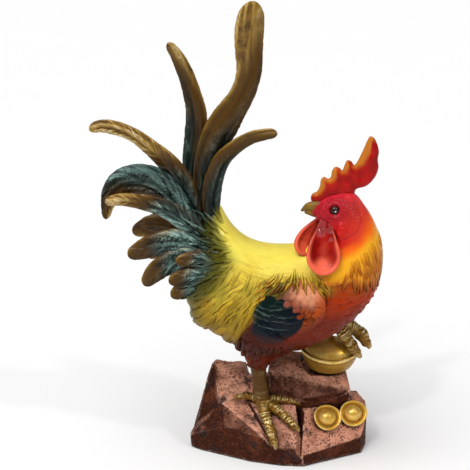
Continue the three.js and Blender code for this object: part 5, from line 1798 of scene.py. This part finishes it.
def make_wing(tree, side, label, material):
    points, faces, values = wing_base(tree, side)
    base = new_piece("wing_base", points, faces, values)
    under = paint_on_body(base, needed("body_casting"), values["soft"])[1]
    put(base.data, "paint", coats(values["paint"], (under, values["sunk"])))
    drop(base.data, ["sunk"])
    tree = surface(base)
    rng = np.random.default_rng(8)
    guides = Guides()
    shares = np.linspace(0, 1, 12)
    for line, z in enumerate(np.arange(161, 133, -5.2)):
        left, right = np.interp(z, *COVERT_LEFT), np.interp(z, *COVERT_RIGHT)
        for x in np.arange(left + 3 * (line % 2), right, 6.0):
            middle = np.array([x + rng.uniform(-1.1, 1.1), z + rng.uniform(-0.9, 0.9)])
            way = unit(np.array([-0.85 + 0.5 * float(ease(x, 12, 24)), -0.5 - 0.3 * float(ease(x, 12, 24))]))
            xz = [middle + way * k for k in np.linspace(-6.0, 4.0, 12)]
            laid = lay(tree, xz, side, np.interp(shares, [0, 0.4, 1], [-1.6, -0.6, -0.2]))
            if laid is None:
                continue
            up = unit(laid[1] + 2 * laid[1].mean(0))
            rounded = np.maximum(0.08, np.sqrt(1 - clamp((shares - 0.55) / 0.45) ** 2.2))
            size = rng.uniform(2.9, 4.2) * (0.8 + 0.2 * float(ease(x, -4, 8)))
            guides.add(laid[0], up, size * rounded * np.interp(shares, [0, 0.4], [0.7, 1]),
                       1.7 * (0.5 + 0.5 * rounded), 0.05, rng.uniform(0, 1))
    obj = guides.sweep(f"wing_{label}_feathers", blade_tree(), {
        "Ring points": 20, "Rib height": 0.0002, "Barb spacing": 0.0016, "Relief": 0.0002, "Barb lean": 1.2,
        "Edge notch": 0.1, "Edge fullness": 0.8, "Seed": 4.0, "Material": material,
    })
    mesh = obj.data
    at, edge, share = places(mesh), np.abs(get(mesh, "across")), get(mesh, "share")
    x, z = at[:, 0], at[:, 2]
    colour = coats(
        ink("wing_orange", 0.7),
        (ink("wing_salmon"), ease(z + 0.3 * x, 148, 162)),
        (ink("wing_salmon", (0.3, 0.2, 0.26)), 0.85 * ease(z - 0.5 * x, 135, 142) * ease(z + x, 170, 154)),
        (ink("saddle_olive", (0.75, 0.45, 0.4)), ease(z - 0.9 * x, 150, 161)),
    )
    clear = ease(z + 0.7 * x, 168, 156)
    shade = (0.78 + 0.36 * get(mesh, "gilt")) * (1 - (0.2 + 0.5 * clear) * edge**4)
    shade *= 1 - (0.2 + 0.45 * clear) * ease(share, 0.6, 0.15)
    put(mesh, "paint", colour * shade[:, None])
    put(mesh, "soft", np.full(len(at), 0.25))
    drop(mesh, SWEEP_ONLY + ("share", "gilt", "barb"))
    give(base, material)
    fuse(obj, base)
    x, z = places(mesh)[:, 0], places(mesh)[:, 2]
    put(mesh, "wash", coats(ink("wing_blue", 0.3), (ink("groove_brown"), ease(x + 0.8 * (z - 140), 4, 12))))
    seat(obj, [f"wing_{label}"])


class ROOSTER_OT_wings(bpy.types.Operator):
    """Wings: primaries, covert lumps and the rolled leading edge"""

    bl_idname = "rooster.wings"
    bl_label = "Wings"

    def execute(self, context):
        tree = surface(needed("body_casting"))
        material = feather_paint("wing paint", 0.32)
        for side, label in ((NEAR, "near"), (FAR, "far")):
            make_wing(tree, side, label, material)
        return {"FINISHED"}


def smooth_outline(outline, count):
    """Places spread evenly round a smooth closed outline"""
    return curve([(x, 0, z) for x, z in outline + outline[:1]], np.linspace(0, 1, count, endpoint=False))[:, [0, 2]]


def outline_gap(points, edge):
    """Distance from points to an outline, less than 0 outside it"""
    gap = np.min(np.linalg.norm(points[:, None] - edge[None], axis=2), axis=1)
    return np.where(inside_outline(points, edge), gap, -gap)


def filled(outline, step, count):
    """Fine mesh inside an outline: its points, the outline's first, its faces and their distance to the outline"""
    edge = smooth_outline(outline, count)
    spans = [np.arange(low, high, step) for low, high in zip(edge.min(0), edge.max(0))]
    grid = np.stack(np.meshgrid(*spans, indexing="ij"), -1).reshape(-1, 2)
    grid = grid[outline_gap(grid, edge) > 0.55 * step]
    flat, _, faces, _, _, _ = delaunay_2d_cdt([Vector(p) for p in np.vstack([edge, grid])], [],
                                              [list(range(count))], 1, 1e-4)
    flat = np.array([tuple(v) for v in flat])
    gap = np.abs(outline_gap(flat, edge))
    gap[:count] = 0
    return flat, [tuple(f) for f in faces], gap, count


def two_skins(front, back, faces, count):
    """Closed piece from two skins over the same faces, which share their first count points"""
    extra = len(front) - count
    second = np.concatenate([np.arange(count), np.arange(count, len(front)) + extra])
    return np.vstack([front, back[count:]]), faces + [tuple(int(second[i]) for i in reversed(f)) for f in faces]


def make_comb(material):
    """Outline filled with a fine grid and swollen towards the middle"""
    flat, faces, gap, count = filled(COMB_EDGE, 0.8, 420)
    x, z = flat.T
    share = clamp(gap / np.interp(z, [222, 245, 282], [6.5, 5.6, 4.6]))
    thinner = np.interp(z, [222, 240, 282], [1.0, 0.92, 0.72])
    half = sizes().comb_thick / MM / 2 * np.sqrt(1 - (1 - share) ** 2) * thinner
    both = []
    for side in (-1, 1):
        ripple = 0.45 * lumps(columns(x * 1.6, side * 9.0, z * 0.6), 6.0, 4.0, 2)
        warts = 0.35 * (0.45 - cells(columns(x, side * 5.0, z), 2.2, 2.0)) * ease(z - 0.35 * x, 226, 214)
        both.append(columns(x, -6 + side * (half + (ripple + warts) * share), z))
    points, skins = two_skins(*both, faces, count)
    # the front edges of the teeth and of the blade glow orange
    edge = flat[:count]
    nearest = np.argmin(np.linalg.norm(flat[:, None] - edge[None], axis=2), axis=1)
    run = unit(np.roll(edge, -3, axis=0) - np.roll(edge, 3, axis=0))
    front = clamp(0.7 * run[:, 1] + 0.3 * run[:, 0] + 0.2)
    front = np.convolve(np.concatenate([front[-9:], front, front[:9]]), np.ones(19) / 19, "same")[9:-9]
    above = ease(edge[:, 1] - 0.25 * edge[:, 0], 222, 230)
    reach = np.interp(z, [230, 255, 282], [3.8, 4.8, 7.5])
    glow = 1.25 * (front * above)[nearest] * np.exp(-((gap / reach) ** 1.6)) + 0.5 * ease(z, 270, 281)
    obj = new_piece("comb_casting", points, skins, {"glow": np.clip(np.concatenate([glow, glow[count:]]), 0, 1.2)})
    seat(obj, ["comb"], material)


def make_wattle(key, material):
    """Drop with a thick rolled rim round a hollow"""
    spec = WATTLES[key]
    t = 1 - (1 - np.linspace(0, 1, 80)) ** 1.5
    line = curve(spec["path"], t)
    across, up = twisted(headings(line), spec["twist"], t)
    if up[40][1] > 0:
        up = -up
    tip = 0.34
    past = clamp((t - (1 - tip)) / tip)
    rounded = np.maximum(0.03, np.sqrt(clamp(1 - past**2)))
    half = along(spec["width"], t) / 2 * rounded
    count = 72
    angle = circle(count)
    u, v = np.cos(angle), np.sin(angle)
    low = ease(t, 0.12, 0.8)[:, None]
    out = np.sqrt((u[None] * rounded[:, None]) ** 2 + past[:, None] ** 2)
    rim = hill(out - 0.88, 0.15)
    bowl = np.exp(-((u[None] * rounded[:, None]) ** 2 + (past[:, None] - 0.5) ** 2) / 0.22)
    front = np.where(v > 0, 1, 0.3)[None]
    full = np.sign(v) * np.abs(v) ** 0.55
    thick = (1.9 + 2.0 * rim * low) * (0.45 + 0.55 * rounded)[:, None]
    folds = 0.16 * np.cos(u * 6)[None] * ease(t, 0.45, 0.15)[:, None] * np.where(v > 0, 1, 0)[None]
    height = full[None] * thick + (1.3 * ease(out, 0.6, 0.95) - 3.0 * clamp(1 - out**2.6)) * low * front + folds
    points = line[:, None] + across[:, None] * (u[None] * half[:, None])[..., None] + up[:, None] * height[..., None]
    wander = lumps(points.reshape(-1, 3), 6.0, 9.0, 2).reshape(height.shape)
    points = points + up[:, None] * (0.3 * wander)[..., None]
    mesh_points, faces = tube(points)
    # lighter where the value is high: the rim's coral paint, a painted highlight in the lower bowl and painted shade
    # towards the top; the far wattle lighter, and the side towards the neck half as light
    glow = 0.75 * rim * (0.4 + 0.6 * low) + 0.85 * bowl * low + 0.12 + (key == "far") * 0.35
    glow = np.append((np.clip(glow, 0, 1.2) * np.where(v > -0.2, 1, 0.5)[None]).ravel(), [0, 1])
    obj = new_piece(f"wattle_{key}_drop", mesh_points, faces, {"glow": glow})
    seat(obj, [f"wattle_{key}"], material)


def make_beak():
    """Hooked upper bill over a shorter lower one, with a nostril and the line of the mouth"""
    upper, lower = (tapered(*bill[:2], 60, 0.93, 0.85, bill[2])[0] for bill in BILLS)
    flat = upper.reshape(-1, 3)
    hole = np.exp(-(((flat[:, 0] - 27.5) / 1.5) ** 2 + ((flat[:, 2] - 223) / 0.8) ** 2))
    flat = flat - (flat - [27.5, -8.4, 222]) * (0.18 * hole)[:, None]
    points, faces = join_parts([tube(flat.reshape(upper.shape)), tube(lower)])
    points = points + 0.12 * lumps(points, 3.0, 6.0, 2)[:, None]
    obj = new_piece("beak_horn", points, faces)
    tree, finish = new_material("beak paint")
    height, cloud = paint_grain(tree, 0.0012, 0.006)
    along_x = separated(spot(tree))["X"]
    toned = blend(between(cloud, 0.3, 0.7, 0.0, 0.5), ink("beak_olive"), ink("beak_olive", 0.5))
    toned = blend(between(along_x, 0.024, 0.031) * 0.55, toned, (0.22, 0.05, 0.015))
    toned = blend(between(along_x, 0.0185, 0.0150) * 0.5, toned, (0.10, 0.06, 0.02))
    seat(obj, ["beak"], finish(
        # dark wash in the grooves and painted shade where the bill meets the head
        washed(tree, toned, (0.05, 0.025, 0.01), crevice_wash_and_shade(tree, 2.0), 1.0, 0.003), Specular_IOR_Level=0.12,
        Roughness=between(cloud, 0.3, 0.7, 0.28, 0.42), Coat_Weight=between(cloud, 0.2, 0.8, 0.1, 0.25),
        Coat_Roughness=0.15, Normal=bumps(height, 0.15, 0.4),
    ))


def make_eye(key, material):
    """Black bead with a painted glint, in a dark lid"""
    centre = np.array(EYES[key])
    sign = -1 if key == "near" else 1
    radius = sizes().eye_radius / MM
    lat, lon = np.linspace(0.06, math.pi - 0.06, 30)[:, None], circle(48)
    ball = columns(np.sin(lat) * np.cos(lon), np.cos(lat), np.sin(lat) * np.sin(lon))
    seat(new_piece(f"eye_{key}_bead", *tube(centre + ball * radius)), [f"eye_{key}"], material)
    turn = circle(72)
    middle = centre + columns(np.cos(turn) * (radius + 0.4), sign * 1.0, np.sin(turn) * (radius + 0.1))
    out = columns(np.cos(turn), 0, np.sin(turn))
    rings = sleeve(middle, out, np.broadcast_to([0, 1.0, 0], out.shape), np.full(72, 0.95), 16)
    points = rings.reshape(-1, 3)
    dark = np.ones_like(points)
    lid = new_piece(f"eye_{key}_lid", points, bands(72, 16, around=True), {
        "paint": ink("face_red", 0.45) * dark, "wash": [0.01, 0, 0] * dark, "soft": 0.1 * dark[:, 0], "grain": points})
    seat(lid, ["body"], needed("body paint", "materials"))


class ROOSTER_OT_head(bpy.types.Operator):
    """Comb, wattles, beak and eyes"""

    bl_idname = "rooster.head"
    bl_label = "Comb, wattles, beak and eyes"

    def execute(self, context):
        flesh = flesh_paint("comb paint", ink("comb_red"), ink("comb_glow"), 0.16)
        make_comb(flesh)
        wattle = flesh_paint("wattle paint", ink("wattle_red"), ink("wattle_rim"), 0.14)
        for key in WATTLES:
            make_wattle(key, wattle)
        make_beak()
        tree, finish = new_material("eye bead")
        away = vectors("LENGTH", vectors("SUBTRACT", vectors("MULTIPLY", spot(tree), (1, 0, 1)), (0.0424, 0, 0.2226)))
        iris = blend(between(away, 0.0021, 0.0031), (0.004, 0.003, 0.003), (0.035, 0.012, 0.006))
        glint = blend(between(away, 0.0007, 0.00045), iris, (0.95, 0.95, 0.95))
        bead = finish(glint, Roughness=0.12, IOR=1.45)
        for key in EYES:
            make_eye(key, bead)
        return {"FINISHED"}


def inside_outline(points, edge):
    """Which points lie inside a closed outline"""
    x, z = points.T
    inside = np.zeros(len(points), bool)
    for (ax, az), (bx, bz) in zip(edge, np.roll(edge, -1, axis=0)):
        if az == bz:
            continue
        crosses = (az > z) != (bz > z)
        inside ^= crosses & (x < (bx - ax) * (z - az) / (bz - az) + ax)
    return inside


def make_leg(node, upper, toes, material):
    """Shank and toes with rings of scales, and the claws"""
    guides = Guides()
    lines = [(*upper, 90)] + [(points, radius * np.array(TOE_TAPER), 80) for points, radius in toes]
    claws = []
    for points, radii, count in lines:
        shares = np.linspace(0, 1, count)
        line = curve(points, shares)
        ahead = headings(line)
        out = [0, 0.25, 1] if abs(ahead[count // 2][2]) < 0.8 else [0.2, -1, 0]
        up = unit(np.cross(np.cross(ahead, out), ahead))
        half = along(radii, shares)
        if radii is not upper[1]:
            knuckles = 0.08 * np.cos(2 * np.pi * 3 * shares) * ease(shares, 0, 0.2)
            half = np.maximum(half * (1 + knuckles), 2.3)
            half = half * np.sqrt(np.clip(1 - clamp((shares - 0.9) / 0.1) ** 2, 0.02, 1))
            claws.append(make_claw(line, ahead, up, radii[0]))
        strength = 0.9 + 0.5 * lumps(line, 8.0, 3.0) if radii is upper[1] else ease(shares, -0.05, 0.25) * 0.7 + 0.3
        guides.add(line, up, half, gilt=strength)
    obj = guides.sweep(node + "_scales", limb_tree(), {
        "Ring points": 36, "Scute spacing": sizes().scute_spacing, "Scute depth": sizes().scute_depth,
        "Material": material,
    })
    put(obj.data, "dull", 0.9 * ease(places(obj.data)[:, 2], 46, 58) * (node == "leg_standing"))
    drop(obj.data, SWEEP_ONLY + ("share", "gilt"))
    points, faces = join_parts(claws)
    nails = new_piece(node + "_claws", points, faces,
                      {"ridge": np.full(len(points), 0.35), "dull": np.zeros(len(points))})
    give(nails, material)
    fuse(obj, nails)
    seat(obj, [node])


def make_claw(line, ahead, up, radius):
    """Curved claw on the end of a toe"""
    base, run, rise = line[-3], ahead[-6], up[-6]
    path = [base + run * on + rise * over for on, over in ((-2.5, 0.5), (0.5, 0.9), (2.4, 0.1), (3.4, -1.1))]
    shares = np.linspace(0, 1, 14)
    centre = curve(path, shares)
    heading = headings(centre)
    side = unit(np.cross(heading, rise))
    face = np.cross(side, heading)
    size = radius * 0.42 * np.sqrt(np.clip(1 - shares**2.2, 0.01, 1))
    return tube(sleeve(centre, side, face, size, 16))


class ROOSTER_OT_legs(bpy.types.Operator):
    """Scaled legs and toes with their claws"""

    bl_idname = "rooster.legs"
    bl_label = "Legs"

    def execute(self, context):
        gold = gold_paint("leg gold paint", ink("leg_gold"), (0.08, 0.034, 0.006), 0.3, 0.3)
        make_leg("leg_standing", SHANK, STANDING_TOES, gold)
        make_leg("leg_raised", RAISED_STUB, RAISED_TOES, gold)
        return {"FINISHED"}


def make_ingot(name, spec, material):
    """Boat-shaped bowl with a rolled rim, a stepped hollow and a dome"""
    d, lip = spec["crown"], spec["lip"]
    foot = 0.92 if lip < 0.15 else 0.86
    hollow = foot - 0.02
    profile = [(0.0, 0), (0.3, 0), (0.44, 0.0), (0.52, 0.04), (0.64, 0.14), (0.75, 0.3), (0.84, 0.5), (0.92, 0.72),
               (0.975, 0.9), (1.0, 1.0), (0.993, 1.055), (1 - 0.4 * lip, 1.085), (1 - 0.75 * lip, 1.05),
               (1 - 0.95 * lip, 0.98), (0.5 * (1 - lip + d), hollow), (d + 0.012, foot + 0.01), (d * 0.995, 1.03),
               (d * 0.95, 1.16), (d * 0.86, 1.28), (d * 0.72, 1.39), (d * 0.54, 1.47), (d * 0.34, 1.525),
               (d * 0.15, 1.555), (0.0, 1.56)]
    profile = curve([(r, 0, h) for r, h in profile], np.linspace(0, 1, 90))[1:-1, [0, 2]]
    count = 96
    angle = circle(count)
    rings = []
    for r, h in profile:
        lift = spec["rise"] * np.cos(angle) ** 2 * min(1, h) * max(0, r - 0.55) * 2.2
        z = h * spec["height"] if h <= 1.03 else spec["height"] + (h - 1) * (spec["dome"] / 0.56)
        rings.append(columns(spec["rx"] * r * np.cos(angle), spec["ry"] * r * np.sin(angle), z + lift))
    points, faces = tube(rings)
    points = points + 0.012 * spec["rx"] * lumps(points, spec["rx"] * 0.5, 3.0, 2)[:, None] * [0.4, 0.4, 1]
    spin = Vector((0, 0, 1)).rotation_difference(spec["up"]).to_matrix() @ rotation(spec["turn"])
    points = points @ np.array(spin).T + np.array(spec["at"])
    heights = np.array([h for _, h in profile])
    bright = 0.9 * hill(profile[:, 0] - 0.97, 0.04) * (heights > 0.95) + 0.3 * (heights > 1.1)
    bright = bright - 0.8 * hill(profile[:, 0] - d - 0.05, 0.06) * (heights < 0.97) * (heights > 0.85)
    dull = 0.62 * (lip < 0.15) * (heights < 0.95)
    obj = new_piece(name + "_casting", points, faces, {
        "ridge": np.append(np.repeat(bright, count), [0, 0.8]), "dull": np.append(np.repeat(dull, count), [0, 0])})
    seat(obj, [name], material)


class ROOSTER_OT_ingots(bpy.types.Operator):
    """The large gold ingot and the two small ones"""

    bl_idname = "rooster.ingots"
    bl_label = "Ingots"

    def execute(self, context):
        gold = gold_paint("ingot gold paint", ink("ingot_gold"), (0.18, 0.085, 0.016), 0.28, 0.4, 1.6)
        for name, spec in INGOTS.items():
            make_ingot(name, spec, gold)
        return {"FINISHED"}


def rotation(degrees):
    return Matrix.Rotation(math.radians(degrees), 3, "Z")


def carve_rock(mesh):
    """Waves, pits, chips and the crest behind the leg"""
    points, out = places(mesh), normals(mesh)
    x, z = points[:, 0], points[:, 2]
    # how far each point stands out from those round it: edges are high, corners between facets low
    pairs = np.zeros(len(mesh.edges) * 2, int)
    mesh.edges.foreach_get("vertices", pairs)
    pairs = pairs.reshape(-1, 2)
    ridge = np.einsum("ij,ij->i", points - draw_even(points, pairs, 0.6, 5), out)
    packed = surface(frame["nodes"]["rock"])
    facets = np.array([tuple(packed.find_nearest(Vector(p))[1]) for p in points])
    facing = unit(unit(draw_even(out, pairs, 0.7, 3)) + 2 * facets)
    zone = ease(lumps(points, 15.0, 3.0, 2), -0.15, 0.3)
    deep = sizes().pit_depth / MM
    pits = ease(cells(points, 3.3, 8.0), 0.36, 0.14) * zone
    small = ease(cells(points, 2.1, 1.0), 0.3, 0.12) * ease(lumps(points, 11.0, 9.0, 2), 0.0, 0.3)
    chips = ease(ridge, 0.12, 0.4) * ease(lumps(points, 4.0, 5.0, 3), 0.05, 0.5)
    wave = 0.55 * lumps(points, 13.0, 6.0, 3) + 0.16 * lumps(points, 3.2, 2.0, 3)
    floor = ease(z, 1.2, 3.5)
    rise = (wave * floor - deep * pits - 0.6 * deep * small - 0.9 * chips) * floor
    crest = 3.6 * ease(z, 48, 62) * ease(x, -46, -32) * ease(x, -6, -16)
    move(mesh, points + out * rise[:, None] + crest[:, None] * [0, 0, 1])
    put(mesh, "pit", clamp(np.maximum(pits, small)))
    put(mesh, "ridge", np.clip(ridge * 2.2, -1, 1))
    put(mesh, "facing", facing)
    put(mesh, "facet", 0.5 + 0.5 * np.sin(facets @ [19.0, 31.0, 23.0]))


class ROOSTER_OT_rock(bpy.types.Operator):
    """Rock with pits, chips and worn edges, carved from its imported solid"""

    bl_idname = "rooster.rock"
    bl_label = "Rock"

    def execute(self, context):
        mesh = frame["nodes"]["rock"].data.copy()
        rock = show("rock_casting", mesh)
        work = bmesh.new()
        work.from_mesh(mesh)
        bmesh.ops.remove_doubles(work, verts=work.verts, dist=1e-6)
        at, radius = FOOTHOLD
        bmesh.ops.create_icosphere(work, subdivisions=2, radius=radius * MM, matrix=Matrix.Translation(Vector(at) * MM))
        work.to_mesh(mesh)
        work.free()
        modifier = rock.modifiers.new("Even grid", "REMESH")
        modifier.mode = "VOXEL"
        modifier.voxel_size = ROCK_STEP * MM
        bake(rock)
        carve_rock(rock.data)
        seat(rock, ["rock"], rock_paint("rock paint"))
        return {"FINISHED"}


class ROOSTER_OT_hardware(bpy.types.Operator):
    """Finish of the hidden rod and pin and of the foam under the rock"""

    bl_idname = "rooster.hardware"
    bl_label = "Rod, pin and foam"

    def execute(self, context):
        tree, finish = new_material("dark foam")
        pores = place("ShaderNodeTexVoronoi", {"Vector": spot(tree), "Scale": 1500.0})["Distance"]
        cloud = paint_grain(tree, 0.0006, 0.02)[1]
        give(frame["nodes"]["base_pad"], finish(
            blend(pores, (0.012, 0.011, 0.011), (0.045, 0.042, 0.04)), IOR=1.4,
            Roughness=between(cloud, 0.3, 0.7, 0.82, 0.98), Normal=bumps(pores, 0.3, 0.6),
        ))
        tree, finish = new_material("drawn steel")
        drawn = place("ShaderNodeMapping", {"Vector": spot(tree), "Scale": (1.0, 1.0, 0.02)})["Vector"]
        lines = speckle(drawn, 2400.0)
        steel = finish(
            blend(lines, (0.32, 0.32, 0.31), (0.52, 0.52, 0.5)), IOR=2.5,
            Roughness=between(lines, 0.3, 0.7, 0.26, 0.42), Metallic=between(lines, 0.2, 0.8, 0.9, 1.0),
        )
        for node in ("leg_rod", "ingot_pin"):
            give(frame["nodes"][node], steel)
        return {"FINISHED"}


OPERATORS = (
    ROOSTER_OT_stage, ROOSTER_OT_body, ROOSTER_OT_plumage, ROOSTER_OT_tail, ROOSTER_OT_wings, ROOSTER_OT_strands,
    ROOSTER_OT_head, ROOSTER_OT_legs, ROOSTER_OT_ingots, ROOSTER_OT_rock, ROOSTER_OT_hardware,
)


class ROOSTER_PT_panel(bpy.types.Panel):
    """Pieces of the rooster in the order of making, and their sizes and colours"""

    bl_idname = "ROOSTER_PT_panel"
    bl_label = "Painted rooster"
    bl_space_type = "VIEW_3D"
    bl_region_type = "UI"
    bl_category = "Rooster"

    def draw(self, context):
        for operator in OPERATORS:
            self.layout.operator(operator.bl_idname)
        for group in (context.scene.rooster_sizes, context.scene.rooster_paint):
            column = self.layout.column()
            for key in group.bl_rna.properties.keys():
                if key not in ("rna_type", "name"):
                    column.prop(group, key)


CLASSES = (RoosterSizes, RoosterPaint, *OPERATORS, ROOSTER_PT_panel)


def register():
    for item in CLASSES:
        bpy.utils.register_class(item)
    bpy.types.Scene.rooster_sizes = PointerProperty(type=RoosterSizes)
    bpy.types.Scene.rooster_paint = PointerProperty(type=RoosterPaint)


def unregister():
    del bpy.types.Scene.rooster_paint
    del bpy.types.Scene.rooster_sizes
    for item in reversed(CLASSES):
        bpy.utils.unregister_class(item)


def main():
    register()
    for operator in OPERATORS:
        family, name = operator.bl_idname.split(".")
        getattr(getattr(bpy.ops, family), name)()


if __name__ == "__main__":
    main()
